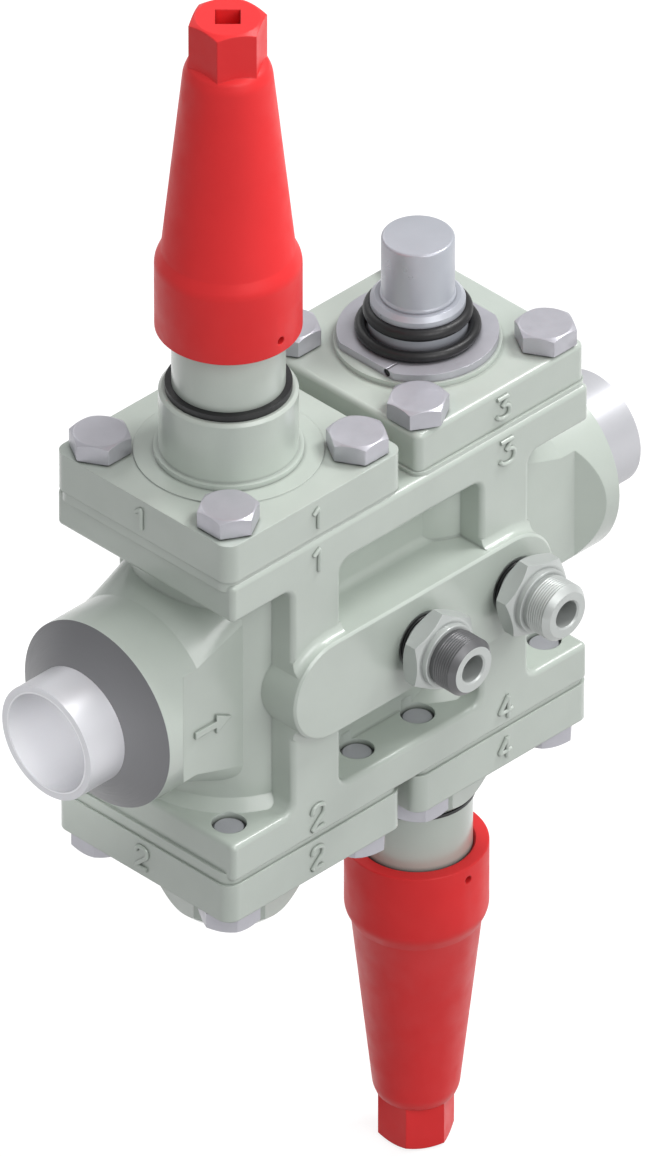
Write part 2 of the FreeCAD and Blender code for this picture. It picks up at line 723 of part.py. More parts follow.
def cap(vent_turn):
    """The tapered protecting cap over the spindle, with its hexagon and square socket."""
    shoulder_z = CAP_MOUTH_Z + CAP_SKIRT_HEIGHT
    hex_r = CAP_HEX_AF / math.sqrt(3)
    outline = [(0, CAP_MOUTH_Z), (CAP_SKIRT_R, CAP_MOUTH_Z), (CAP_SKIRT_R, shoulder_z - CAP_SHOULDER_FALL)]
    outline += eased(CAP_SKIRT_R, shoulder_z, CAP_SKIRT_R - CAP_SHOULDER_R, CAP_SHOULDER_FALL)
    outline += [(CAP_SHOULDER_R, shoulder_z), (CAP_CONE_TOP_R, CAP_CONE_TOP_Z - CAP_TOP_ROUND)]
    outline += eased(CAP_CONE_TOP_R, CAP_CONE_TOP_Z, CAP_TOP_ROUND, CAP_TOP_ROUND)
    outline += [(CAP_CONE_TOP_R - CAP_TOP_ROUND, CAP_CONE_TOP_Z), (0, CAP_CONE_TOP_Z)]
    shell = turned(outline)
    grip = chamfered_hex(CAP_HEX_AF, CAP_CONE_TOP_Z - PAST, CAP_HEX_TOP_Z, 90,
                         hex_r - CAP_HEX_CHAMFER, CAP_HEX_CHAMFER * math.tan(math.radians(30)))
    body = fused([shell, grip])
    ledge = NECK_TUBE_TOP + CAP_GASKET_THICK
    thread_r = NECK_TUBE_R + FIT
    ceiling = CAP_CONE_TOP_Z - CAP_WALL
    inner_r = CAP_SHOULDER_R - CAP_WALL - CAP_STEP
    cavity = turned([(0, CAP_MOUTH_Z - PAST), (thread_r, CAP_MOUTH_Z - PAST), (thread_r, ledge),
                     (inner_r, ledge), (inner_r, shoulder_z),
                     (CAP_CONE_TOP_R - CAP_WALL, ceiling), (0, ceiling)])
    half = CAP_SOCKET / 2
    socket = Part.makeBox(CAP_SOCKET, CAP_SOCKET, CAP_SOCKET_DEPTH + PAST,
                          V(-half, -half, CAP_HEX_TOP_Z - CAP_SOCKET_DEPTH))
    socket = socket.rotated(V(0, 0, 0), V(0, 0, 1), 45)
    vent = along_minus_y(rod(CAP_VENT_R, NECK_TUBE_R - PAST, CAP_SKIRT_R + PAST))
    vent = vent.rotated(V(0, 0, 0), V(0, 0, 1), vent_turn).translated(V(0, 0, CAP_MOUTH_Z + CAP_VENT_RISE))
    return body.cut(Part.makeCompound([cavity, socket, vent]))


def cap_gasket():
    """The flat gasket in the cap, on top of the neck tube."""
    inner = NECK_TUBE_R - CAP_GASKET_WIDTH
    return ring(NECK_TUBE_R - FIT, inner, NECK_TUBE_TOP, NECK_TUBE_TOP + CAP_GASKET_THICK)


def stop_valve(name, hexagonal, vent_turn):
    """All pieces of a stop valve module, standing upright."""
    bonnet = hex_bonnet() if hexagonal else round_bonnet()
    return {
        name + "_cover": square_cover(WIDE_BORE_R, not hexagonal),
        name + "_cover_gasket": cover_gasket(WIDE_BORE_R),
        name + "_cover_bolts": bolts(),
        name + "_bonnet": bonnet,
        name + "_neck_tube": neck_tube(hexagonal),
        name + "_neck_seal": neck_seal(hexagonal),
        name + "_spindle_packing": spindle_packing(),
        name + "_gland_nut": gland_nut(),
        name + "_spindle": spindle(),
        name + "_cone": cone(),
        name + "_cone_seal": cone_seal(),
        name + "_cone_retainer": cone_retainer(),
        name + "_cage": cage(),
        name + "_cap": cap(vent_turn),
        name + "_cap_gasket": cap_gasket(),
    }


def strainer_plug():
    """The hexagon plug that closes the strainer's cover."""
    top = COVER_TOP + HEX_HEIGHT
    head = chamfered_hex(HEX_AF, COVER_TOP, top, 45, HEX_TOP_R, HEX_TAPER)
    return fused([head, rod(COVER_BORE_R, SPIGOT_END, COVER_TOP + PAST)])


def strainer_ring():
    """The ring that seats the basket on the housing's inner ledge."""
    return ring(NARROW_BORE_R - FIT, THROAT_R, LEDGE_Z, LEDGE_Z + BASKET_RING_HEIGHT)


def strainer_basket():
    """The perforated basket, closed at its outer end."""
    low = LEDGE_Z + BASKET_RING_HEIGHT
    high = LEDGE_Z + BASKET_LENGTH
    inner = BASKET_R - BASKET_WALL
    floor = high - 2 * BASKET_WALL
    shell = turned([(inner, low), (BASKET_R, low), (BASKET_R, high), (0, high), (0, floor), (inner, floor)])
    step = (floor - low) / BASKET_ROWS
    cuts = []
    for row in range(BASKET_ROWS):
        middle = low + step * (row + 0.5)
        bar = Part.makeBox(3 * BASKET_R, BASKET_SLOT_WIDTH, BASKET_SLOT_HEIGHT,
                           V(-1.5 * BASKET_R, -BASKET_SLOT_WIDTH / 2, middle - BASKET_SLOT_HEIGHT / 2))
        for column in range(BASKET_COLUMNS):
            turn = 180 / BASKET_COLUMNS * (column + 0.5 * (row % 2))
            cuts.append(bar.rotated(V(0, 0, 0), V(0, 0, 1), turn))
    return shell.cut(Part.makeCompound(cuts))


def basket_holder():
    """The tube between the basket and the plug that presses the basket home."""
    return ring(BASKET_R, BASKET_R - HOLDER_WALL, LEDGE_Z + BASKET_LENGTH, SPIGOT_END)


def strainer():
    """All pieces of the strainer module, standing upright."""
    return {
        "strainer_cover": square_cover(NARROW_BORE_R, False),
        "strainer_cover_gasket": cover_gasket(NARROW_BORE_R),
        "strainer_cover_bolts": bolts(),
        "strainer_plug": strainer_plug(),
        "strainer_seat_ring": strainer_ring(),
        "strainer_basket": strainer_basket(),
        "strainer_basket_holder": basket_holder(),
    }


def motor_cover():
    """The motor valve's cover: smaller, with a rounded rim and a low round boss."""
    plate = rounded_square(MOTOR_COVER_SIDE, MOTOR_COVER_CORNER, JOINT_Z, COVER_TOP)
    rim = [e for e in plate.Edges if e.BoundBox.ZMin > COVER_TOP - 1e-3]
    plate = plate.makeFillet(MOTOR_COVER_ROUND, rim)
    boss = rod(MOTOR_BOSS_R, COVER_TOP - PAST, COVER_TOP + MOTOR_BOSS_RISE)
    body = fused([plate, boss]).cut(Part.makeCompound(cover_cuts(NARROW_BORE_R)))
    spigot = ring(NARROW_BORE_R - FIT, COVER_BORE_R + FIT, SPIGOT_END, JOINT_Z + GASKET_THICK + PAST)
    return fused([body, spigot])


def lock_disc():
    """The disc with two flats that locks the adaptor, with a tapped hole in one flat."""
    low = COVER_TOP + MOTOR_BOSS_RISE
    disc = ring(LOCK_DISC_R, ADAPTOR_R + FIT, low, low + LOCK_DISC_THICK)
    half = LOCK_DISC_HALF_FLAT
    limit = Part.makeBox(2 * half, 4 * LOCK_DISC_R, LOCK_DISC_THICK, V(-half, -2 * LOCK_DISC_R, low))
    hole = rod(SET_SCREW_R, half - SET_SCREW_LENGTH, half + PAST)
    return disc.common(limit).cut(set_screw_place(hole))


def set_screw_place(shape):
    """Lay an upright shape down into the flat on the inlet side of the lock disc."""
    height = COVER_TOP + MOTOR_BOSS_RISE + LOCK_DISC_THICK / 2
    laid = along_x(shape).rotated(V(0, 0, 0), V(0, 0, 1), 180)
    return laid.translated(V(0, SET_SCREW_Y, height))


def set_screw():
    """The small screw that locks the disc."""
    half = LOCK_DISC_HALF_FLAT
    return set_screw_place(rod(SET_SCREW_R - FIT, half - SET_SCREW_LENGTH, half - SET_SCREW_SUNK))


def oring(outer, thick, height):
    """A rubber ring with an eight-sided section."""
    half = thick / 2
    slant = half * math.tan(math.pi / 8)
    section = [(half, -slant), (half, slant), (slant, half), (-slant, half),
               (-half, slant), (-half, -slant), (-slant, -half), (slant, -half)]
    return turned([(outer - half + x, height + z) for x, z in section])


def adaptor():
    """The adaptor that carries the magnet can and guides the screw."""
    low = COVER_TOP + MOTOR_BOSS_RISE - ADAPTOR_DEPTH
    groove_r = SMALL_ORING_R - SMALL_ORING_THICK
    half = SMALL_ORING_THICK / 2 + FIT
    top = ADAPTOR_TOP_Z
    rim_r = ADAPTOR_R - ADAPTOR_STEP
    outline = [(ADAPTOR_BORE_R, low), (ADAPTOR_R, low), (ADAPTOR_R, SMALL_ORING_Z - half),
               (groove_r - FIT, SMALL_ORING_Z - half), (groove_r - FIT, SMALL_ORING_Z + half),
               (rim_r, SMALL_ORING_Z + half), (rim_r, top - ADAPTOR_TOP_CHAMFER),
               (rim_r - ADAPTOR_TOP_CHAMFER, top), (ADAPTOR_BORE_R, top)]
    return turned(outline)


def can():
    """The thin closed can that the magnet turns in."""
    inner = CAN_R - CAN_WALL
    low = ADAPTOR_TOP_Z
    ceiling = CAN_TOP_Z - CAN_WALL
    outline = [(inner, low), (CAN_R, low), (CAN_R, CAN_TOP_Z - CAN_ROUND)]
    outline += eased(CAN_R, CAN_TOP_Z, CAN_ROUND, CAN_ROUND)
    outline += [(CAN_R - CAN_ROUND, CAN_TOP_Z), (0, CAN_TOP_Z), (0, ceiling), (inner, ceiling)]
    return turned(outline)


def lead_screw():
    """The screw that the magnet turns and the valve plug rides on."""
    return rod(SCREW_R, SCREW_BOTTOM_Z, ADAPTOR_TOP_Z + MAGNET_CLEARANCE + MAGNET_HEIGHT)


def magnet():
    """The inner coupling magnet on the screw's upper end."""
    low = ADAPTOR_TOP_Z + MAGNET_CLEARANCE
    outer = CAN_R - CAN_WALL - MAGNET_CLEARANCE
    return ring(outer, SCREW_R + FIT, low, low + MAGNET_HEIGHT)


def screw_bush():
    """The plain bearing bush between the adaptor and the screw."""
    return ring(ADAPTOR_BORE_R - FIT, SCREW_R + FIT, ADAPTOR_TOP_Z - BUSH_LENGTH, ADAPTOR_TOP_Z)


def insert():
    """The motor valve's insert: a sleeve with four windows above its seat."""
    outer = NARROW_BORE_R - FIT
    floor = LEDGE_Z + INSERT_SEAT_THICK
    body = turned([(INSERT_SEAT_R, LEDGE_Z), (outer, LEDGE_Z), (outer, SPIGOT_END),
                   (INSERT_BORE_R, SPIGOT_END), (INSERT_BORE_R, floor), (INSERT_SEAT_R, floor)])
    low = floor + SEAT_RING_THICK + WINDOW_SILL
    cuts = window_cuts(INSERT_WINDOW_WIDTH, low, low + INSERT_WINDOW_HEIGHT, 2 * outer)
    return body.cut(Part.makeCompound(cuts))


def insert_seat_ring():
    """The plastic seat ring in the insert."""
    floor = LEDGE_Z + INSERT_SEAT_THICK
    return ring(INSERT_BORE_R - FIT, INSERT_SEAT_R, floor, floor + SEAT_RING_THICK)


def valve_plug():
    """The sliding plug: a sleeve with a threaded crown on the screw."""
    low = LEDGE_Z + INSERT_SEAT_THICK + SEAT_RING_THICK
    high = low + PLUG_HEIGHT
    outer = INSERT_BORE_R - FIT
    outline = [(outer - PLUG_WALL, low), (outer, low), (outer, high), (SCREW_R + FIT, high),
               (SCREW_R + FIT, high - PLUG_CROWN), (outer - PLUG_WALL, high - PLUG_CROWN)]
    return turned(outline)


def motor_valve():
    """All pieces of the motor valve module, standing upright."""
    disc_top = COVER_TOP + MOTOR_BOSS_RISE + LOCK_DISC_THICK
    return {
        "motor_valve_cover": motor_cover(),
        "motor_valve_cover_gasket": cover_gasket(NARROW_BORE_R),
        "motor_valve_cover_bolts": bolts(),
        "motor_valve_lock_disc": lock_disc(),
        "motor_valve_set_screw": set_screw(),
        "motor_valve_adaptor": adaptor(),
        "motor_valve_large_oring": oring(LARGE_ORING_R, LARGE_ORING_THICK, disc_top + LARGE_ORING_THICK / 2),
        "motor_valve_small_oring": oring(SMALL_ORING_R, SMALL_ORING_THICK, SMALL_ORING_Z),
        "motor_valve_can": can(),
        "motor_valve_lead_screw": lead_screw(),
        "motor_valve_magnet": magnet(),
        "motor_valve_screw_bush": screw_bush(),
        "motor_valve_insert": insert(),
        "motor_valve_seat_ring": insert_seat_ring(),
        "motor_valve_plug": valve_plug(),
    }


def nipple(vertex_angle):
    """A threaded side nipple, standing upright on the boss face."""
    hex_low = NIPPLE_WASHER_THICK
    hex_high = hex_low + NIPPLE_HEX_LENGTH
    collar_high = hex_high + NIPPLE_COLLAR_LENGTH
    end = collar_high + NIPPLE_BARREL_LENGTH
    reach = NIPPLE_HEX_AF / math.sqrt(3)
    drop = NIPPLE_HEX_DROP
    head = hexagon(NIPPLE_HEX_AF, hex_low, hex_high, vertex_angle)
    envelope = turned([(0, hex_low), (reach, hex_low), (reach, hex_high - drop),
                       (reach - 2 * drop, hex_high), (0, hex_high)])
    root = hex_high - PAST
    shaft = turned([(0, -NIPPLE_STUB_LENGTH), (NIPPLE_R - FIT, -NIPPLE_STUB_LENGTH), (NIPPLE_R - FIT, root),
                    (NIPPLE_COLLAR_R, root), (NIPPLE_COLLAR_R, collar_high), (NIPPLE_R, collar_high),
                    (NIPPLE_R, end - NIPPLE_CHAMFER), (NIPPLE_R - NIPPLE_CHAMFER, end), (0, end)])
    bore = rod(NIPPLE_BORE_R, -NIPPLE_STUB_LENGTH - PAST, end + PAST)
    return fused([head.common(envelope), shaft]).cut(bore)


def nipples():
    """Both side nipples and their washers, on the boss."""
    places = {"first": (0, 0), "second": (COLUMN_X, SECOND_NIPPLE_TURN_DEGREES)}
    made = {}
    for name, (x, vertex_angle) in places.items():
        place = V(x, -BOSS_DEPTH, 0)
        washer = ring(NIPPLE_WASHER_R, NIPPLE_R + FIT, 0, NIPPLE_WASHER_THICK)
        made[name + "_nipple"] = along_minus_y(nipple(vertex_angle)).translated(place)
        made[name + "_nipple_washer"] = along_minus_y(washer).translated(place)
    return made


def placed(pieces, x, upside_down):
    """Move a module's pieces to their column, upside down where the module hangs below."""
    made = {}
    for name, shape in pieces.items():
        if upside_down:
            shape = flipped(shape)
        made[name] = shape.translated(V(x, 0, 0))
    return made


def station():
    """Every piece of the valve station by name."""
    made = {"housing": housing()}
    made.update(placed(stop_valve("inlet_stop", False, 0), -COLUMN_X, False))
    made.update(placed(strainer(), -COLUMN_X, True))
    made.update(placed(motor_valve(), COLUMN_X, False))
    made.update(placed(stop_valve("outlet_stop", True, 180), COLUMN_X, True))
    made.update(nipples())
    return made


os.makedirs("parts", exist_ok=True)
for node, solid in station().items():
    solid.translated(V(END_X, 0, 0)).exportStep("parts/" + node + ".step")
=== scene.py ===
"""Valve station: finishes, caps, fasteners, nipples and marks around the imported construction."""

import json
import logging
import math
from collections.abc import Iterable, Sequence
from dataclasses import dataclass
from enum import Enum

import bmesh
import bpy
from mathutils import Matrix, Vector

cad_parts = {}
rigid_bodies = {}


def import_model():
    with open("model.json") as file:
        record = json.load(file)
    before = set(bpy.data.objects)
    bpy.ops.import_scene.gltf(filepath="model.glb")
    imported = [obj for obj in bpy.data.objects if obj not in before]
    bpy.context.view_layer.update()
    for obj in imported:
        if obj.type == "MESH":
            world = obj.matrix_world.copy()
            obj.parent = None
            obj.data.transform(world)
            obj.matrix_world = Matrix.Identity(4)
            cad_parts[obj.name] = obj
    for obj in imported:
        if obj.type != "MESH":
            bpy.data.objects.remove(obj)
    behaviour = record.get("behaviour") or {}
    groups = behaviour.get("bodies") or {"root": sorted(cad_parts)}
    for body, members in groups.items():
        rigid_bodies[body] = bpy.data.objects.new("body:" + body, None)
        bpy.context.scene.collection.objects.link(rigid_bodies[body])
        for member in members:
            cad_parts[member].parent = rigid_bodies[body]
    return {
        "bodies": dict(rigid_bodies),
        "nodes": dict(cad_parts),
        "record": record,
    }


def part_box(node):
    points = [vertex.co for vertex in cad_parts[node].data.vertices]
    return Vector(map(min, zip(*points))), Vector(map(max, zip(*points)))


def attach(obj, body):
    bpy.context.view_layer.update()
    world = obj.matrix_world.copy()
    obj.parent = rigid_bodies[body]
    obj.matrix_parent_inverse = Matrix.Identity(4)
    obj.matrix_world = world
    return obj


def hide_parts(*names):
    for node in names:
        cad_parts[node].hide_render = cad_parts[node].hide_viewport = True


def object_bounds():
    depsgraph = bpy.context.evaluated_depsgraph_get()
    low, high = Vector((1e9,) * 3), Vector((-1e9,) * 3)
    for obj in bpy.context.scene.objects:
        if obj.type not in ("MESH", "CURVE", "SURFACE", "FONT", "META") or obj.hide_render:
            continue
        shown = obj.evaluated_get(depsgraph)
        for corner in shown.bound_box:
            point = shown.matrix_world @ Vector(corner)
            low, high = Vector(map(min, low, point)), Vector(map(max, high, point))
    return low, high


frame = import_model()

for leftover in set(bpy.data.objects) - {*frame["nodes"].values(), *frame["bodies"].values()}:
    bpy.data.objects.remove(leftover)
CAD_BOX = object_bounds()

LOG = logging.getLogger("valve_station")
MM = 0.001
NEAR = 1e-7
EDGE_NEAR = 1e-6
SURFACE_NEAR = 0.01 * MM
SEGMENTS = 96
SECTION_SEGMENTS = 28
ROUNDING_SEGMENTS = 4
SQUARE = 4
UP = Vector((0, 0, 1))
SMOOTH_ANGLE = math.radians(32)
RIGHT_ANGLE = math.radians(90)
HEX_CHAMFER_SLOPE = math.tan(math.radians(30))
UPRIGHT = Matrix.Rotation(RIGHT_ANGLE, 4, "X")
TURNED_OVER = Matrix.Rotation(math.pi, 4, "X")
OVERLAP = 1 * MM

NOISE_ROUGHNESS = 0.55
COARSE, MEDIUM, FINE = 2.0, 3.0, 4.0
NOISE_LOW, NOISE_HIGH = 0.3, 0.7
OPENNESS = (0.15, 0.85)
EDGE_COSINES = (0.75, 0.99)
# Lightening of outer edges, partly wear and partly a painted highlight.
RUBBED_AND_LIT_GAIN, RUBBED_AND_LIT_LIFT = 1.15, 0.05

Colour = tuple[float, float, float]
Corner = tuple[float, float, float]
Direction = tuple[float, float, float]


class Joining(Enum):
    """How two closed shapes are put together."""

    UNION = "UNION"
    CUT = "DIFFERENCE"


class Facing(Enum):
    """The side of the station that a mark is read from."""

    FRONT = "front"
    INLET = "inlet"

    def turn(self) -> Matrix:
        """The turn from flat on the XY plane to upright on this side."""
        if self is Facing.INLET:
            return Matrix.Rotation(-RIGHT_ANGLE, 4, "Z") @ UPRIGHT
        return UPRIGHT


@dataclass(frozen=True)
class Extent:
    """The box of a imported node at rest, in metres."""

    low: Vector
    high: Vector

    @classmethod
    def of(cls, node: str) -> "Extent":
        """The box of the named node."""
        low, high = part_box(node)
        return cls(low, high)

    @property
    def centre(self) -> Vector:
        """Middle of the box."""
        return (self.low + self.high) / 2

    @property
    def size(self) -> Vector:
        """Length of the box along each axis."""
        return self.high - self.low


MIDDLE_X = Extent.of("housing").centre.x
COLUMNS = {"inlet": Extent.of("inlet_stop_cap").centre.x,
           "outlet": Extent.of("outlet_stop_cap").centre.x}


def spun(shape: bmesh.types.BMesh, segments: int) -> bmesh.types.BMesh:
    """Spins the edges of a shape in a full turn about the Z axis."""
    bmesh.ops.spin(shape, geom=list(shape.edges), cent=(0, 0, 0), axis=UP, dvec=(0, 0, 0),
                   angle=2 * math.pi, steps=segments, use_merge=True, use_duplicate=False)
    return cleaned(shape)


def turned(corners: Sequence[Corner], segments: int = SEGMENTS) -> bmesh.types.BMesh:
    """Turns a closed outline about the Z axis.

    Args:
        corners: Radius, height and rounding of each corner, in metres.
        segments: Steps in the full turn.

    Returns:
        The closed shape, facing outwards.
    """
    shape = bmesh.new()
    points = [shape.verts.new((radius, 0, height)) for radius, height, _ in corners]
    shape.faces.new(points)
    for rounding in sorted({corner[2] for corner in corners} - {0}):
        chosen = [point for point, corner in zip(points, corners) if corner[2] == rounding]
        bmesh.ops.bevel(shape, geom=chosen, offset=rounding, offset_type="OFFSET",
                        segments=ROUNDING_SEGMENTS, profile=0.5, affect="VERTICES", material=-1)
    on_axis = [e for e in shape.edges if max(abs(v.co.x) for v in e.verts) < NEAR]
    bmesh.ops.delete(shape, geom=list(shape.faces), context="FACES_ONLY")
    bmesh.ops.delete(shape, geom=on_axis, context="EDGES")
    return spun(shape, segments)


def cleaned(shape: bmesh.types.BMesh) -> bmesh.types.BMesh:
    """Merges doubles and points all faces outwards."""
    bmesh.ops.remove_doubles(shape, verts=list(shape.verts), dist=NEAR)
    bmesh.ops.dissolve_degenerate(shape, edges=list(shape.edges), dist=NEAR)
    bmesh.ops.recalc_face_normals(shape, faces=list(shape.faces))
    return shape


def hex_reach(across_flats: float) -> float:
    """Distance from the middle of a hexagon to its corners."""
    return across_flats / math.sqrt(3)


def hexagonal(shape: bmesh.types.BMesh, across_flats: float,
              turn_degrees: float) -> bmesh.types.BMesh:
    """Cuts six flats into a turned shape.

    Args:
        shape: A turned shape about the Z axis.
        across_flats: Distance between opposite flats.
        turn_degrees: Angle of one corner from +X.

    Returns:
        The same shape with its flats closed.
    """
    for side in range(6):
        angle = math.radians(turn_degrees + 30 + 60 * side)
        outwards = Vector((math.cos(angle), math.sin(angle), 0))
        whole = list(shape.verts) + list(shape.edges) + list(shape.faces)
        bmesh.ops.bisect_plane(shape, geom=whole, dist=NEAR, plane_co=outwards * across_flats / 2,
                               plane_no=outwards, clear_outer=True)
        bmesh.ops.holes_fill(shape, edges=[e for e in shape.edges if e.is_boundary], sides=0)
    return cleaned(shape)


def rod(radius: float, low: float, high: float, segments: int = SEGMENTS) -> bmesh.types.BMesh:
    """An upright round rod, or a prism where it has few segments."""
    shape = bmesh.new()
    place = Matrix.Translation((0, 0, (low + high) / 2))
    bmesh.ops.create_cone(shape, cap_ends=True, segments=segments, radius1=radius, radius2=radius,
                          depth=high - low, matrix=place)
    return shape


def torus(ring_radius: float, section_radius: float, height: float) -> bmesh.types.BMesh:
    """A round-section ring about the Z axis."""
    shape = bmesh.new()
    place = Matrix.Translation((ring_radius, 0, height)) @ UPRIGHT
    bmesh.ops.create_circle(shape, cap_ends=False, segments=SECTION_SEGMENTS,
                            radius=section_radius, matrix=place)
    return spun(shape, SEGMENTS)


def moved(shape: bmesh.types.BMesh, place: Matrix) -> bmesh.types.BMesh:
    """Moves every point of a shape."""
    bmesh.ops.transform(shape, matrix=place, verts=list(shape.verts))
    return shape


def as_mesh(name: str, shape: bmesh.types.BMesh) -> bpy.types.Mesh:
    """Writes a shape to a new mesh and frees it."""
    mesh = bpy.data.meshes.new(name)
    shape.to_mesh(mesh)
    shape.free()
    return mesh


def gathered(shapes: Iterable[bmesh.types.BMesh]) -> bmesh.types.BMesh:
    """Several separate shapes as one."""
    whole = bmesh.new()
    for shape in shapes:
        mesh = as_mesh("part", shape)
        whole.from_mesh(mesh)
        bpy.data.meshes.remove(mesh)
    return whole


def combined(base: bmesh.types.BMesh, tool: bmesh.types.BMesh,
             joining: Joining) -> bmesh.types.BMesh:
    """Joins or cuts one closed shape with another.

    Args:
        base: The shape that stays.
        tool: The shape that is added or taken away.
        joining: Whether to add or to cut.

    Returns:
        The combined closed shape.
    """
    objects = [bpy.data.objects.new("shape", as_mesh("shape", shape)) for shape in (base, tool)]
    for obj in objects:
        bpy.context.scene.collection.objects.link(obj)
    modifier = objects[0].modifiers.new("joining", "BOOLEAN")
    modifier.operation = joining.value
    modifier.solver = "EXACT"
    modifier.object = objects[1]
    graph = bpy.context.evaluated_depsgraph_get()
    mesh = bpy.data.meshes.new_from_object(objects[0].evaluated_get(graph))
    result = bmesh.new()
    result.from_mesh(mesh)
    bpy.data.meshes.remove(mesh)
    for obj in objects:
        bpy.data.meshes.remove(obj.data)
    return cleaned(result)


class Sheet:
    """The nodes of one material, added and linked by name."""

    def __init__(self, name: str) -> None:
        """Starts an empty material."""
        self.material = bpy.data.materials.new(name)
        self.material.use_nodes = True
        self.tree = self.material.node_tree
        self.tree.nodes.clear()

    def add(self, kind: str, inputs: dict[str | int, object], **settings: object) -> bpy.types.Node:
        """Adds a node.

        Args:
            kind: The node's type.
            inputs: A value or another node's socket for each named input.
            **settings: The node's own settings.

        Returns:
            The new node.
        """
        node = self.tree.nodes.new(kind)
        for name, value in settings.items():
            setattr(node, name, value)
        for name, value in inputs.items():
            if isinstance(value, bpy.types.NodeSocket):
                self.tree.links.new(value, node.inputs[name])
            else:
                node.inputs[name].default_value = value
        return node

    def place(self) -> bpy.types.NodeSocket:
        """The point on the object, in metres."""
        return self.add("ShaderNodeTexCoord", {}).outputs["Object"]

    def maths(self, operation: str, first: object, second: object = 0.0) -> bpy.types.NodeSocket:
        """One sum of two values."""
        return self.add("ShaderNodeMath", {0: first, 1: second}, operation=operation).outputs[0]

    def between(self, value: object, low: float, high: float, out_low: float,
                out_high: float) -> bpy.types.NodeSocket:
        """Maps a value from one range to another and stops at its ends."""
        inputs = {"Value": value, "From Min": low, "From Max": high, "To Min": out_low,
                  "To Max": out_high}
        return self.add("ShaderNodeMapRange", inputs, clamp=True).outputs["Result"]

    def noise(self, place: object, size: float, detail: float = COARSE) -> bpy.types.NodeSocket:
        """Noise whose blotches are about the given size in metres."""
        inputs = {"Vector": place, "Scale": 1 / size, "Detail": detail,
                  "Roughness": NOISE_ROUGHNESS}
        return self.add("ShaderNodeTexNoise", inputs).outputs["Fac"]

    def tinted(self, colour: Colour, factor: object) -> bpy.types.NodeSocket:
        """A colour made darker or lighter by a factor."""
        inputs = {0: colour, "Scale": factor}
        return self.add("ShaderNodeVectorMath", inputs, operation="SCALE").outputs["Vector"]

    def mixed(self, factor: object, first: object, second: object) -> bpy.types.NodeSocket:
        """A mix of two colours."""
        node = self.add("ShaderNodeMix", {0: factor, 6: first, 7: second}, data_type="RGBA")
        return node.outputs[2]

    def finish(self, shader: bpy.types.NodeSocket) -> bpy.types.Material:
        """Links the last shader to the surface."""
        self.add("ShaderNodeOutputMaterial", {"Surface": shader})
        return self.material


def shade(colour: Colour) -> tuple[float, float, float, float]:
    """A colour with full cover."""
    return (*colour, 1.0)


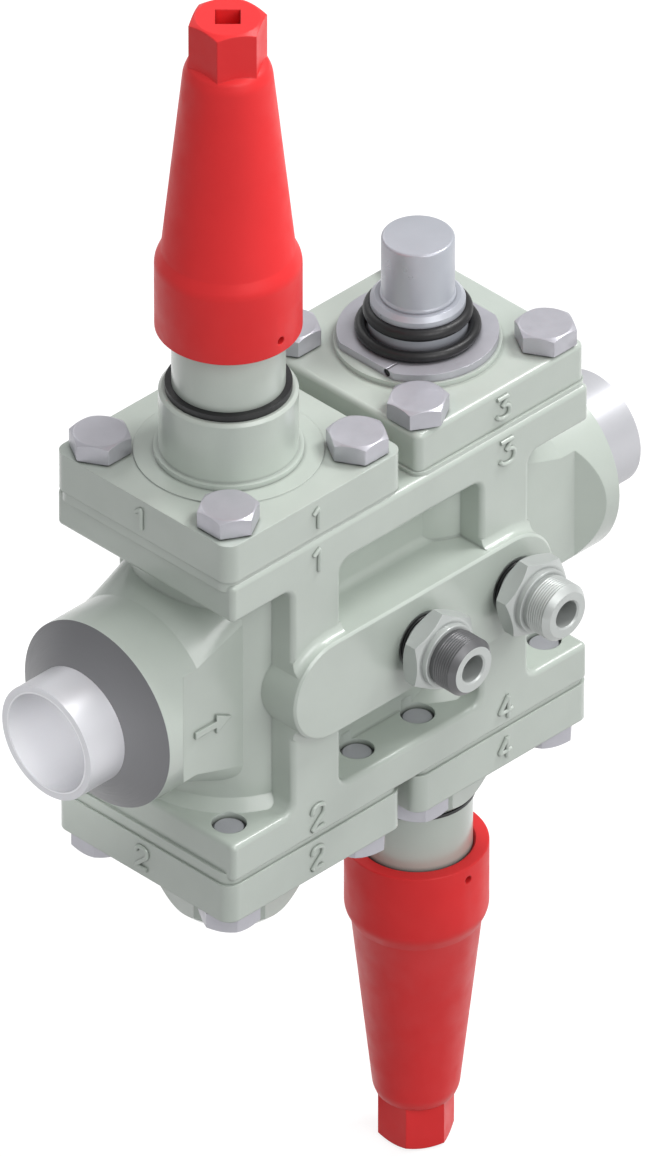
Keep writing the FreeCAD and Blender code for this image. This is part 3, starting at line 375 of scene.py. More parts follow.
@dataclass(frozen=True)
class Finish:
    """Mottled, grained surface; painted shade in crevices and hollows; edges lighter from wear and
    a painted highlight.
    """

    slot: str
    colour: Colour
    metallic: float = 0.0
    roughness: float = 0.45
    roughness_spread: float = 0.08
    mottle: float = 0.04
    mottle_size: float = 25 * MM
    grain_size: float = 0.9 * MM
    grain_depth: float = 0.02 * MM
    edge_radius: float = 0.35 * MM
    # Painted shade: how deep and how far the colour is darkened in crevices and in wider hollows.
    crevice_shade: float = 0.55
    crevice_shade_reach: float = 1.6 * MM
    hollow: float = 0.18
    hollow_shade_reach: float = 12 * MM
    # How much outer edges are lightened, partly as wear and partly as a painted highlight.
    edge_wear_and_highlight: float = 0.0
    coat: float = 0.0
    coat_roughness: float = 0.22
    gloss: float = 0.5
    edge_samples: int = 6
    shadow_samples: int = 8

    def height_of(self, sheet: Sheet, place: bpy.types.NodeSocket) -> bpy.types.NodeSocket:
        """The height of the grain, from 0 to 1."""
        return sheet.noise(place, self.grain_size, MEDIUM)

    def shader(self, sheet: Sheet) -> bpy.types.NodeSocket:
        """Adds the whole surface to a sheet.

        Args:
            sheet: The material's nodes.

        Returns:
            The socket of its shader.
        """
        place = sheet.place()
        edge = sheet.add("ShaderNodeBevel", {"Radius": self.edge_radius}, samples=self.edge_samples)
        soft = edge.outputs["Normal"]
        height = self.height_of(sheet, place)
        bump = sheet.add("ShaderNodeBump", {"Strength": 1.0, "Distance": self.grain_depth,
                                            "Height": height, "Normal": soft})
        blotch = sheet.noise(place, self.mottle_size, FINE)
        mottle = sheet.between(blotch, NOISE_LOW, NOISE_HIGH, 1 - self.mottle, 1 + self.mottle)
        # Painted shade: ambient occlusion darkens the colour in crevices and hollows.
        painted_shade = sheet.maths("MULTIPLY", self.shadow(sheet, self.crevice_shade_reach, self.crevice_shade),
                           self.shadow(sheet, self.hollow_shade_reach, self.hollow))
        colour = sheet.tinted(self.colour, sheet.maths("MULTIPLY", mottle, painted_shade))
        # Outer edges are lightened, partly as wear and partly as a painted highlight.
        if self.edge_wear_and_highlight > 0:
            colour = sheet.mixed(self.worn_and_lit_edges(sheet, soft), colour, self.rubbed_and_lit_colour())
        spots = sheet.noise(place, self.mottle_size / 3, MEDIUM)
        rough = sheet.between(spots, NOISE_LOW, NOISE_HIGH, self.roughness - self.roughness_spread,
                              self.roughness + self.roughness_spread)
        inputs = {"Base Color": colour, "Metallic": self.metallic, "Roughness": rough,
                  "Normal": bump.outputs["Normal"], "Coat Weight": self.coat,
                  "Coat Roughness": self.coat_roughness, "Specular IOR Level": self.gloss}
        return sheet.add("ShaderNodeBsdfPrincipled", inputs).outputs["BSDF"]

    def shadow(self, sheet: Sheet, reach: float, depth: float) -> bpy.types.NodeSocket:
        """A painted shade factor that falls from 1 in corners closer than the reach."""
        node = sheet.add("ShaderNodeAmbientOcclusion", {"Distance": reach},
                         samples=self.shadow_samples)
        return sheet.between(node.outputs["AO"], *OPENNESS, 1 - depth, 1.0)

    def rubbed_and_lit_colour(self) -> tuple[float, float, float, float]:
        """The lighter colour of outer edges, partly rubbed bare and partly a painted highlight."""
        return shade(tuple(min(1.0, RUBBED_AND_LIT_GAIN * part + RUBBED_AND_LIT_LIFT) for part in self.colour))

    def worn_and_lit_edges(self, sheet: Sheet, soft: bpy.types.NodeSocket) -> bpy.types.NodeSocket:
        """A mask of outer edges, where the softened and the true normal differ; wear and a painted
        highlight go there.
        """
        true = sheet.add("ShaderNodeNewGeometry", {}).outputs["Normal"]
        both = sheet.add("ShaderNodeVectorMath", {0: soft, 1: true}, operation="DOT_PRODUCT")
        return sheet.between(both.outputs["Value"], *EDGE_COSINES, self.edge_wear_and_highlight, 0.0)

    def build(self) -> bpy.types.Material:
        """Makes the material."""
        sheet = Sheet(self.slot)
        return sheet.finish(self.shader(sheet))


@dataclass(frozen=True)
class TurnedFinish(Finish):
    """Bare metal with fine lathe rings along one axis."""

    axis: str = "Z"
    ring_pitch: float = 0.18 * MM
    stretch: float = 0.02

    def height_of(self, sheet: Sheet, place: bpy.types.NodeSocket) -> bpy.types.NodeSocket:
        """Rings of uneven height across the axis of the lathe."""
        parts = sheet.add("ShaderNodeSeparateXYZ", {"Vector": place}).outputs
        along = sheet.maths("MULTIPLY", parts[self.axis], 1 / self.ring_pitch)
        wide = [sheet.maths("MULTIPLY", parts[letter], self.stretch / self.ring_pitch)
                for letter in "XYZ" if letter != self.axis]
        stretched = sheet.add("ShaderNodeCombineXYZ", {0: along, 1: wide[0], 2: wide[1]})
        return sheet.noise(stretched.outputs["Vector"], 1.0)


@dataclass(frozen=True)
class CastingFinish(Finish):
    """Coated casting with bare turned weld ends and pipe bores; cones darkened as painted shade,
    bores lightened partly as painted light.
    """

    steel: Colour = (0.62, 0.62, 0.65)
    # Lighter steel in the bores: partly a honed finish, partly painted light against their shade.
    honed_and_lit_bore_steel: Colour = (0.78, 0.78, 0.81)
    # Darkening of the cone faces' steel: painted shade.
    cone_painted_shade: float = 0.32
    stub_end: float = 24 * MM
    pipe_end: float = 16 * MM
    bore_radius: float = 18.8 * MM
    length: float = 263 * MM
    mask_margin: float = 0.02 * MM
    line_stretch: float = 40.0
    line_size: float = 8 * MM
    line_depth: float = 0.01 * MM
    steel_roughness: tuple[float, float] = (0.34, 0.46)
    steel_metallic: float = 0.35

    def bare(self, sheet: Sheet, place: bpy.types.NodeSocket) -> tuple[bpy.types.NodeSocket, ...]:
        """Masks of the bare steel, and of its cones and bores alone.

        Args:
            sheet: The material's nodes.
            place: The point on the object.

        Returns:
            Masks of all bare steel, of the cone faces and of the bores.
        """
        parts = sheet.add("ShaderNodeSeparateXYZ", {"Vector": place}).outputs
        far = sheet.maths("SUBTRACT", self.length, parts["X"])
        from_end = sheet.maths("MINIMUM", parts["X"], far)
        end = sheet.maths("LESS_THAN", from_end, self.stub_end - self.mask_margin)
        cone = sheet.maths("MULTIPLY", end, sheet.maths("GREATER_THAN", from_end, self.pipe_end))
        across = sheet.add("ShaderNodeCombineXYZ", {1: parts["Y"], 2: parts["Z"]}).outputs[0]
        radius = sheet.add("ShaderNodeVectorMath", {0: across}, operation="LENGTH")
        bore = sheet.maths("LESS_THAN", radius.outputs["Value"], self.bore_radius)
        outside = sheet.maths("SUBTRACT", 1.0, bore)
        return sheet.maths("MAXIMUM", end, bore), sheet.maths("MULTIPLY", cone, outside), bore

    def build(self) -> bpy.types.Material:
        """Mixes the coating with the bare steel."""
        sheet = Sheet(self.slot)
        coating = self.shader(sheet)
        place = sheet.place()
        bare, cone, bore = self.bare(sheet, place)
        # Painted shade: the cone faces get darker steel, as they turn away from the light.
        shaded_cone_steel = shade(tuple(self.cone_painted_shade * part for part in self.steel))
        metal = sheet.mixed(cone, shade(self.steel), shaded_cone_steel)
        # The bores get lighter, non-metallic steel: partly a honed finish, partly painted light
        # that lifts them out of their shade.
        metal = sheet.mixed(bore, metal, shade(self.honed_and_lit_bore_steel))
        parts = sheet.add("ShaderNodeSeparateXYZ", {"Vector": place}).outputs
        along = sheet.maths("MULTIPLY", parts["X"], self.line_stretch)
        lines = sheet.add("ShaderNodeCombineXYZ", {0: along, 1: parts["Y"], 2: parts["Z"]})
        rings = sheet.noise(lines.outputs["Vector"], self.line_size, MEDIUM)
        bump = sheet.add("ShaderNodeBump", {"Strength": 1.0, "Distance": self.line_depth,
                                            "Height": rings})
        rough = sheet.between(rings, NOISE_LOW, NOISE_HIGH, *self.steel_roughness)
        metallic = sheet.between(bore, 0.0, 1.0, self.steel_metallic, 0.0)
        inputs = {"Base Color": metal, "Metallic": metallic, "Roughness": rough,
                  "Normal": bump.outputs["Normal"]}
        steel = sheet.add("ShaderNodeBsdfPrincipled", inputs).outputs["BSDF"]
        both = sheet.add("ShaderNodeMixShader", {0: bare, 1: coating, 2: steel})
        return sheet.finish(both.outputs[0])


FINISHES: tuple[Finish, ...] = (
    CastingFinish("coated_casting", (0.545, 0.600, 0.545), roughness=0.40, mottle=0.03,
                  crevice_shade=0.68, crevice_shade_reach=1.9 * MM, grain_size=1.1 * MM,
                  grain_depth=0.022 * MM, edge_radius=0.6 * MM, edge_wear_and_highlight=0.45, coat=0.85,
                  hollow=0.04),
    Finish("zinc_plated_steel", (0.53, 0.525, 0.57), metallic=0.40, roughness=0.36,
           mottle_size=9 * MM, grain_size=0.35 * MM, grain_depth=0.002 * MM,
           edge_radius=0.3 * MM, edge_wear_and_highlight=0.5),
    TurnedFinish("machined_steel", (0.50, 0.52, 0.57), metallic=0.30, roughness=0.34, mottle=0.03,
                 grain_depth=0.0015 * MM, edge_radius=0.25 * MM, edge_wear_and_highlight=0.4),
    Finish("red_coated_aluminium", (0.88, 0.034, 0.037), roughness=0.48, mottle=0.03,
           grain_size=0.8 * MM, grain_depth=0.010 * MM, edge_radius=0.6 * MM, coat=0.08,
           edge_wear_and_highlight=0.10, gloss=0.25, hollow=0.10),
    Finish("black_rubber", (0.012, 0.012, 0.013), roughness=0.42, mottle=0.15,
           mottle_size=4 * MM, grain_size=0.3 * MM, grain_depth=0.004 * MM, crevice_shade=0.2),
    TurnedFinish("stainless_trim", (0.60, 0.60, 0.61), metallic=0.9, roughness=0.28, mottle=0.03,
                 grain_depth=0.004 * MM),
    TurnedFinish("nipple_steel", (0.56, 0.585, 0.57), metallic=0.30, roughness=0.36, axis="Y",
                 grain_depth=0.002 * MM, edge_radius=0.25 * MM, edge_wear_and_highlight=0.3),
    TurnedFinish("blackened_steel", (0.15, 0.15, 0.155), metallic=0.35, roughness=0.36, axis="Y",
                 grain_depth=0.003 * MM, edge_radius=0.2 * MM),
    Finish("seal_plastic", (0.78, 0.77, 0.72), roughness=0.5, grain_size=0.5 * MM,
           grain_depth=0.005 * MM),
    TurnedFinish("bearing_bronze", (0.52, 0.33, 0.12), metallic=0.85, roughness=0.35,
                 grain_depth=0.004 * MM),
    Finish("magnet_black", (0.030, 0.030, 0.033), metallic=0.4, roughness=0.5,
           grain_size=0.4 * MM),
    Finish("fibre_gasket", (0.030, 0.031, 0.033), roughness=0.75, grain_size=0.6 * MM,
           grain_depth=0.03 * MM),
)


class Workshop:
    """Holds the finishes and turns shapes into pieces of the scene."""

    def __init__(self) -> None:
        """Makes every finish once."""
        self.materials = {finish.slot: finish.build() for finish in FINISHES}

    def dress_nodes(self) -> None:
        """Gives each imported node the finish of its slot."""
        for part in frame["record"]["subparts"]:
            obj = frame["nodes"][part["node"]]
            for slot in obj.material_slots:
                slot.material = self.materials[part["material_slot"]]

    def piece(self, name: str, shape: bmesh.types.BMesh, slot: str, body: str,
              replaces: Sequence[str] = ()) -> bpy.types.Object:
        """Makes a piece from a shape.

        Args:
            name: The piece's name.
            shape: Its mesh, in place, in metres.
            slot: The slot of its finish.
            body: The body it moves with.
            replaces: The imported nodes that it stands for.

        Returns:
            The new object, with its origin at the frame's origin.
        """
        obj = bpy.data.objects.new(name, as_mesh(name, shape))
        obj.data.shade_smooth()
        obj.data.set_sharp_from_angle(angle=SMOOTH_ANGLE)
        obj.data.materials.append(self.materials[slot])
        bpy.context.scene.collection.objects.link(obj)
        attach(obj, body)
        if replaces:
            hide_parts(*replaces)
        LOG.info("%s: %d faces on %s", name, len(obj.data.polygons), body)
        return obj


@dataclass
class ProtectingCap:
    """The tapered red cap over a stop valve's spindle."""

    node: str
    upside_down: bool
    skirt_height: float = 30.4 * MM
    mouth_round: float = 0.5 * MM
    skirt_round: float = 1.6 * MM
    shoulder_radius: float = 22.85 * MM
    shoulder_fall: float = 3.6 * MM
    shoulder_swell: float = 0.35 * MM
    shoulder_round: float = 0.9 * MM
    cone_step: float = 0.25 * MM
    cone_rise: float = 1.2 * MM
    cone_top_radius: float = 15.1 * MM
    head_height: float = 18.3 * MM
    head_root: float = 1.5 * MM
    band_height: float = 3.3 * MM
    band_round: float = 1.2 * MM
    hex_across_flats: float = 23.5 * MM
    hex_turn_degrees: float = 30.0
    hex_face_radius: float = 10.9 * MM
    face_round: float = 0.3 * MM
    ledge_rise: float = 1.9 * MM
    ledge_swell: float = 0.2 * MM
    ledge_round: float = 0.8 * MM
    ledge_width: float = 3.0 * MM
    thread_radius: float = 19.3 * MM
    thread_length: float = 23.1 * MM
    wall: float = 4.5 * MM
    ceiling_round: float = 1.0 * MM
    shoulder_wall: float = 6.5 * MM
    thread_lead_in: float = 1.0 * MM
    socket_side: float = 8.5 * MM
    socket_depth: float = 8.0 * MM
    vent_radius: float = 1.5 * MM
    vent_rise: float = 5.2 * MM
    vent_segments: int = 24

    def shell(self, height: float, skirt: float) -> bmesh.types.BMesh:
        """The hollow turned body, with its mouth at height 0."""
        base = height - self.head_height
        reach = hex_reach(self.hex_across_flats)
        inner = self.shoulder_radius - self.shoulder_wall
        ceiling = base - self.wall
        lead_in = self.thread_lead_in
        inside = [
            (0, ceiling, 0),
            (self.cone_top_radius - self.wall, ceiling, self.ceiling_round),
            (inner, self.skirt_height, 0),
            (inner, self.thread_length, 0),
            (self.thread_radius, self.thread_length, 0),
            (self.thread_radius, lead_in, 0),
            (self.thread_radius + lead_in, 0, 0),
        ]
        outside = [
            (skirt, 0, self.mouth_round),
            (skirt, self.skirt_height - self.shoulder_fall, self.skirt_round),
            (self.shoulder_radius + self.shoulder_swell, self.skirt_height, self.shoulder_round),
            (self.shoulder_radius - self.cone_step, self.skirt_height + self.cone_rise, 0),
            (self.cone_top_radius, base - self.band_height, self.band_round),
            (reach + self.ledge_swell, base, self.ledge_round),
            (reach - self.ledge_width, base + self.ledge_rise, 0),
            (0, base + self.ledge_rise, 0),
        ]
        return turned(inside + outside)

    def head(self, height: float) -> bmesh.types.BMesh:
        """The hexagon with its turned top."""
        reach = hex_reach(self.hex_across_flats)
        fall = (reach - self.hex_face_radius) * HEX_CHAMFER_SLOPE
        low = height - self.head_height - self.head_root
        outline = [(0, low, 0), (reach, low, 0), (reach, height - fall, 0),
                   (self.hex_face_radius, height, self.face_round), (0, height, 0)]
        return hexagonal(turned(outline), self.hex_across_flats, self.hex_turn_degrees)

    def build(self, workshop: Workshop) -> bpy.types.Object:
        """Builds the cap, with its socket and vent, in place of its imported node."""
        extent = Extent.of(self.node)
        height = extent.size.z
        shape = combined(self.shell(height, extent.size.y / 2), self.head(height), Joining.UNION)
        socket = rod(self.socket_side / math.sqrt(2), height - self.socket_depth,
                     height + OVERLAP, SQUARE)
        shape = combined(shape, socket, Joining.CUT)
        vent_turn = -RIGHT_ANGLE if self.upside_down else RIGHT_ANGLE
        vent = rod(self.vent_radius, self.thread_radius - OVERLAP, extent.size.y / 2 + OVERLAP,
                   self.vent_segments)
        vent = moved(vent, Matrix.Rotation(vent_turn, 4, "X"))
        vent = moved(vent, Matrix.Translation((0, 0, self.vent_rise)))
        shape = combined(shape, vent, Joining.CUT)
        mouth = extent.high.z if self.upside_down else extent.low.z
        place = Matrix.Translation((extent.centre.x, 0, mouth))
        if self.upside_down:
            place = place @ TURNED_OVER
        return workshop.piece(self.node + "_shell", moved(shape, place), "red_coated_aluminium",
                              self.node, [self.node])


@dataclass
class BoltSet:
    """The four hexagon head bolts of a square cover."""

    node: str
    upside_down: bool
    half_pitch: float = 30.5 * MM
    across_flats: float = 18.9 * MM
    head_height: float = 7.5 * MM
    washer_face: float = 0.6 * MM
    shank_radius: float = 5.95 * MM
    end_chamfer: float = 1.0 * MM
    edge_round: float = 0.25 * MM
    face_share: float = 0.475
    turns_degrees: tuple[float, ...] = (90, 0, 18, 0)

    def bolt(self, length: float, turn_degrees: float) -> bmesh.types.BMesh:
        """One bolt with the top of its head at height 0.

        Args:
            length: The whole length, head included.
            turn_degrees: Angle of one corner of the head.

        Returns:
            The bolt, pointing down.
        """
        reach = hex_reach(self.across_flats)
        face = self.face_share * self.across_flats
        fall = (reach - face) * HEX_CHAMFER_SLOPE
        under = -self.head_height
        head = [(0, under, 0), (face, under, 0), (face, under + self.washer_face, 0),
                (reach, under + self.washer_face, self.edge_round), (reach, -fall, 0),
                (face, 0, self.edge_round), (0, 0, 0)]
        shank = [(0, -length, 0), (self.shank_radius - self.end_chamfer, -length, 0),
                 (self.shank_radius, self.end_chamfer - length, 0),
                 (self.shank_radius, under + OVERLAP, 0), (0, under + OVERLAP, 0)]
        cut_head = hexagonal(turned(head), self.across_flats, turn_degrees)
        return combined(cut_head, turned(shank, SEGMENTS // 2), Joining.UNION)

    def build(self, workshop: Workshop) -> bpy.types.Object:
        """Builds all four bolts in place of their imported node."""
        extent = Extent.of(self.node)
        length = extent.size.z
        corners = [(-1, -1), (1, -1), (1, 1), (-1, 1)]
        made = []
        for (x, y), turn in zip(corners, self.turns_degrees):
            place = Matrix.Translation((x * self.half_pitch, y * self.half_pitch, 0))
            made.append(moved(self.bolt(length, turn), place))
        shape = gathered(made)
        if self.upside_down:
            shape = moved(shape, TURNED_OVER)
        top = extent.low.z if self.upside_down else extent.high.z
        column = COLUMNS["inlet" if extent.centre.x < MIDDLE_X else "outlet"]
        shape = moved(shape, Matrix.Translation((column, 0, top)))
        return workshop.piece(self.node + "_set", shape, "zinc_plated_steel", "housing",
                              [self.node])


@dataclass
class MotorValveTop:
    """The can and the two rubber rings of the motor valve."""

    can_round: float = 1.1 * MM
    can_wall: float = 1.0 * MM
    bead: float = 0.45 * MM
    bead_height: float = 2.0
    bead_top: float = 3.5
    bead_round: float = 0.3 * MM

    def can(self, workshop: Workshop) -> bpy.types.Object:
        """The magnet can with a rounded rim and a weld bead at its foot."""
        extent = Extent.of("motor_valve_can")
        radius, height = extent.size.x / 2, extent.size.z
        inner, ceiling = radius - self.can_wall, height - self.can_wall
        foot = radius + self.bead
        outline = [(0, ceiling, 0), (inner, ceiling, 0), (inner, 0, 0), (foot, 0, 0),
                   (foot, self.bead_height * self.bead, self.bead_round),
                   (radius, self.bead_top * self.bead, self.bead_round),
                   (radius, height, self.can_round), (0, height, 0)]
        place = Matrix.Translation((extent.centre.x, 0, extent.low.z))
        return workshop.piece("motor_valve_can_shell", moved(turned(outline), place),
                              "machined_steel", "housing", ["motor_valve_can"])

    def ring(self, workshop: Workshop, node: str) -> bpy.types.Object:
        """A round rubber ring in place of a packed one."""
        extent = Extent.of(node)
        section = extent.size.z / 2
        shape = torus(extent.size.x / 2 - section, section, extent.centre.z)
        place = Matrix.Translation((extent.centre.x, 0, 0))
        return workshop.piece(node + "_round", moved(shape, place), "black_rubber", "housing",
                              [node])

    def build(self, workshop: Workshop) -> None:
        """Builds the can and both rings."""
        self.can(workshop)
        for node in ("motor_valve_large_oring", "motor_valve_small_oring"):
            self.ring(workshop, node)


@dataclass
class SideNipple:
    """A threaded nipple on the front boss, with seal, neck, hexagon, collar and bore."""

    node: str
    slot: str
    barrel_finish: str
    hex_turn_degrees: float
    hex_finish: str = "nipple_steel"
    across_flats: float = 26.6 * MM
    neck_radius: float = 8.6 * MM
    neck_length: float = 4.4 * MM
    seal_radius: float = 9.4 * MM
    seal_thick: float = 1.0 * MM
    seal_round: float = 0.4 * MM
    seal_overlap: float = 0.1 * MM
    hex_length: float = 7.4 * MM
    collar_radius: float = 11.6 * MM
    collar_length: float = 2.3 * MM
    barrel_radius: float = 10.5 * MM
    barrel_length: float = 11.0 * MM
    bore_radius: float = 5.0 * MM
    end_chamfer: float = 2.0 * MM
    thread_pitch: float = 1.0 * MM
    thread_depth: float = 0.32 * MM
    thread_relief: float = 1.5 * MM
    thread_slope: float = 2.6
    rows_per_pitch: int = 8
    stub_length: float = 13.0 * MM
    stub_gap: float = 0.05 * MM
    stub_top: float = 0.5 * MM
    bore_chamfer: float = 0.6 * MM
    bore_margin: float = 1.5 * MM
    bare_end: float = 0.2 * MM
    edge_round: float = 0.3 * MM
    face_share: float = 0.478

    def shaft(self) -> bmesh.types.BMesh:
        """The bored shaft with its collar, standing on the boss face."""
        collar_end = self.neck_length + self.hex_length + self.collar_length
        end = collar_end + self.barrel_length
        collar_start = self.neck_length + OVERLAP
        stub, root = self.barrel_radius - self.stub_gap, self.barrel_radius - self.thread_depth
        thread_start, thread_end = collar_end + self.thread_relief, end - self.end_chamfer
        outline = [
            (self.bore_radius, -self.stub_length, 0),
            (stub, -self.stub_length, 0),
            (stub, -self.stub_top, 0),
            (self.neck_radius, -self.stub_top, 0),
            (self.neck_radius, collar_start, 0),
            (self.collar_radius, collar_start, 0),
            (self.collar_radius, collar_end, self.edge_round),
            (root, collar_end, 0),
            (root, collar_end + 1 * MM, 0),
            (self.barrel_radius, thread_start, 0),
            (self.barrel_radius, thread_end, 0),
            (self.barrel_radius - self.end_chamfer, end, 0),
            (self.bore_radius + self.bore_chamfer, end, 0),
            (self.bore_radius, end - self.bore_chamfer, 0),
        ]
        return self.threaded(turned(outline, 2 * SEGMENTS), thread_start, thread_end)

    def threaded(self, shape: bmesh.types.BMesh, low: float, high: float) -> bmesh.types.BMesh:
        """Cuts a helical thread into the barrel.

        Args:
            shape: The turned shaft.
            low: Height where the full barrel starts.
            high: Height where the end chamfer starts.

        Returns:
            The same shape with its thread.
        """
        def on_barrel(edge: bmesh.types.BMEdge) -> bool:
            """Whether an edge runs straight up the full barrel."""
            heights = sorted(v.co.z for v in edge.verts)
            return abs(heights[0] - low) < EDGE_NEAR and abs(heights[1] - high) < EDGE_NEAR

        upright = [e for e in shape.edges if on_barrel(e)]
        rows = int((high - low) / self.thread_pitch * self.rows_per_pitch)
        bmesh.ops.subdivide_edges(shape, edges=upright, cuts=rows, use_grid_fill=True)
        for vert in shape.verts:
            radius = vert.co.xy.length
            beside = not low - NEAR < vert.co.z < high + NEAR
            if beside or radius < self.barrel_radius - SURFACE_NEAR:
                continue
            turn = math.atan2(vert.co.y, vert.co.x) / (2 * math.pi)
            phase = (vert.co.z / self.thread_pitch - turn) % 1.0
            tooth = min(1.0, self.thread_slope * min(phase, 1 - phase))
            scale = 1 - self.thread_depth * (1 - tooth) / radius
            vert.co.x *= scale
            vert.co.y *= scale
        return shape

    def nut(self) -> bmesh.types.BMesh:
        """The hexagon, chamfered on both faces."""
        reach = hex_reach(self.across_flats)
        face = self.face_share * self.across_flats
        fall = (reach - face) * HEX_CHAMFER_SLOPE
        low, high = self.neck_length, self.neck_length + self.hex_length
        inner = self.bore_radius + 2 * OVERLAP
        outline = [(inner, low, 0), (face, low, 0), (reach, low + fall, 0),
                   (reach, high - fall, 0), (face, high, self.edge_round), (inner, high, 0)]
        return hexagonal(turned(outline), self.across_flats, self.hex_turn_degrees)

    def build(self, workshop: Workshop) -> bpy.types.Object:
        """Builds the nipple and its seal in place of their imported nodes."""
        shape = combined(self.shaft(), self.nut(), Joining.UNION)
        extent = Extent.of(self.node)
        face = extent.high.y - self.stub_length
        place = Matrix.Translation((extent.centre.x, face, 0)) @ UPRIGHT
        made = workshop.piece(self.node + "_body", moved(shape, place), self.slot, "housing",
                              [self.node])
        made.data.materials[0] = workshop.materials[self.hex_finish]
        made.data.materials.append(workshop.materials[self.barrel_finish])
        self.colour_barrel(made, extent.centre.x, face)
        self.seal(workshop, place)
        return made

    def colour_barrel(self, made: bpy.types.Object, middle: float, face: float) -> None:
        """Gives the faces of the barrel their own finish.

        Args:
            made: The nipple, with the finish of its hexagon first and of its barrel second.
            middle: Its axis, along X.
            face: The boss face that it stands on, along Y.
        """
        collar_face = face - self.neck_length - self.hex_length - self.collar_length
        end_face = collar_face - self.barrel_length
        for side in made.data.polygons:
            around = (side.center - Vector((middle, side.center.y, 0))).length
            on_barrel = end_face + self.bare_end < side.center.y < collar_face - NEAR
            side.material_index = int(on_barrel and around > self.bore_radius + self.bore_margin)

    def seal(self, workshop: Workshop, place: Matrix) -> bpy.types.Object:
        """Builds the rubber seal at the nipple's foot, in place of its packed washer."""
        inner = self.neck_radius - self.seal_overlap
        outline = [(inner, 0, 0), (self.seal_radius, 0, 0),
                   (self.seal_radius, self.seal_thick, self.seal_round),
                   (inner, self.seal_thick, 0)]
        return workshop.piece(self.node + "_seal", moved(turned(outline), place), "black_rubber",
                              "housing", [self.node + "_washer"])


STRAIGHT, CURVED, FEWEST_CURVED = 2, 3, 4
STROKES: dict[str, tuple[tuple[tuple[float, float], ...], ...]] = {
    "1": (((-0.22, 0.76), (0.08, 1.0), (0.08, 0.0)),),
    "2": (((-0.30, 0.74), (-0.30, 1.04), (0.32, 1.04), (0.36, 0.62), (0.0, 0.34), (-0.32, 0.0)),
          ((-0.32, 0.0), (0.34, 0.0))),
    "3": (((-0.32, 1.0), (0.32, 1.0)), ((0.32, 1.0), (-0.04, 0.58)),
          ((-0.04, 0.58), (0.40, 0.62), (0.42, -0.02), (-0.20, -0.06), (-0.36, 0.18))),
    "4": (((0.14, 0.0), (0.14, 1.0)), ((0.14, 1.0), (-0.34, 0.32), (0.36, 0.32))),
}


@dataclass
class CastMarks:
    """The raised port numbers and the flow arrow on the casting."""

    digit_height: float = 9 * MM
    cover_digit_height: float = 8 * MM
    stroke: float = 0.85 * MM
    curve_steps: int = 8
    stroke_steps: int = 4
    relief: float = 1.0 * MM
    arrow_length: float = 17 * MM
    arrow_width: float = 7.5 * MM
    stroke_lift: float = 0.85 * MM / 3
    arrow_centre_x: float = 51.5 * MM
    arrow_centre_z: float = -5 * MM
    arrow_head_share: float = 0.42
    arrow_shaft_share: float = 0.17
    neck_half: float = 27 * MM
    slab_front: float = -42 * MM
    slab_level: float = 53 * MM
    cover_level: float = 7.5 * MM

    def digit(self, text: str, height: float, facing: Facing, place: Vector) -> bmesh.types.BMesh:
        """One raised number of round strokes.

        Args:
            text: The number.
            height: The height of its figures.
            facing: The side it is read from.
            place: Its middle, on the surface.

        Returns:
            The number, in place.
        """
        curve = bpy.data.curves.new("number", "CURVE")
        curve.dimensions = "3D"
        curve.bevel_depth = self.stroke
        curve.bevel_resolution = self.stroke_steps
        curve.resolution_u = self.curve_steps
        curve.use_fill_caps = True
        for points in STROKES[text]:
            spline = curve.splines.new("NURBS")
            spline.points.add(len(points) - 1)
            for point, (x, y) in zip(spline.points, points):
                point.co = (x * height, (y - 0.5) * height, self.stroke_lift, 1)
            spline.order_u = STRAIGHT if len(points) < FEWEST_CURVED else CURVED
            spline.use_endpoint_u = True
        obj = bpy.data.objects.new("number", curve)
        bpy.context.scene.collection.objects.link(obj)
        graph = bpy.context.evaluated_depsgraph_get()
        mesh = bpy.data.meshes.new_from_object(obj.evaluated_get(graph))
        shape = bmesh.new()
        shape.from_mesh(mesh)
        bpy.data.meshes.remove(mesh)
        bpy.data.curves.remove(curve)
        return moved(cleaned(shape), Matrix.Translation(place) @ facing.turn())

    def arrow(self) -> bmesh.types.BMesh:
        """The plain arrow that points along the flow."""
        half, head = self.arrow_length / 2, self.arrow_head_share * self.arrow_length
        shaft, wing = self.arrow_shaft_share * self.arrow_width, self.arrow_width / 2
        outline = [(-half, -shaft), (half - head, -shaft), (half - head, -wing), (half, 0),
                   (half - head, wing), (half - head, shaft), (-half, shaft)]
        shape = bmesh.new()
        face = shape.faces.new([shape.verts.new((x, y, -self.relief)) for x, y in outline])
        grown = bmesh.ops.extrude_face_region(shape, geom=[face])["geom"]
        points = [item for item in grown if isinstance(item, bmesh.types.BMVert)]
        bmesh.ops.translate(shape, verts=points, vec=(0, 0, 2 * self.relief))
        place = Vector((self.arrow_centre_x, -self.neck_half, self.arrow_centre_z))
        return moved(cleaned(shape), Matrix.Translation(place) @ Facing.FRONT.turn())

    def build(self, workshop: Workshop) -> bpy.types.Object:
        """Builds all the marks as one piece of the casting."""
        slab = Extent.of("housing")
        shapes = [self.arrow()]
        ports = (("1", "inlet", 1, "inlet_stop_cover"), ("2", "inlet", -1, "strainer_cover"),
                 ("3", "outlet", 1, "motor_valve_cover"), ("4", "outlet", -1, "outlet_stop_cover"))
        for text, column, side, cover in ports:
            x = COLUMNS[column]
            place = Vector((x, self.slab_front, side * self.slab_level))
            shapes.append(self.digit(text, self.digit_height, Facing.FRONT, place))
            plate = Extent.of(cover)
            middle = side * (abs(slab.high.z) + self.cover_level)
            place = Vector((x, plate.low.y, middle))
            shapes.append(self.digit(text, self.cover_digit_height, Facing.FRONT, place))
            if column == "inlet":
                place = Vector((plate.low.x, 0, middle))
                shapes.append(self.digit(text, self.cover_digit_height, Facing.INLET, place))
        return workshop.piece("cast_marks", gathered(shapes), "coated_casting", "housing")


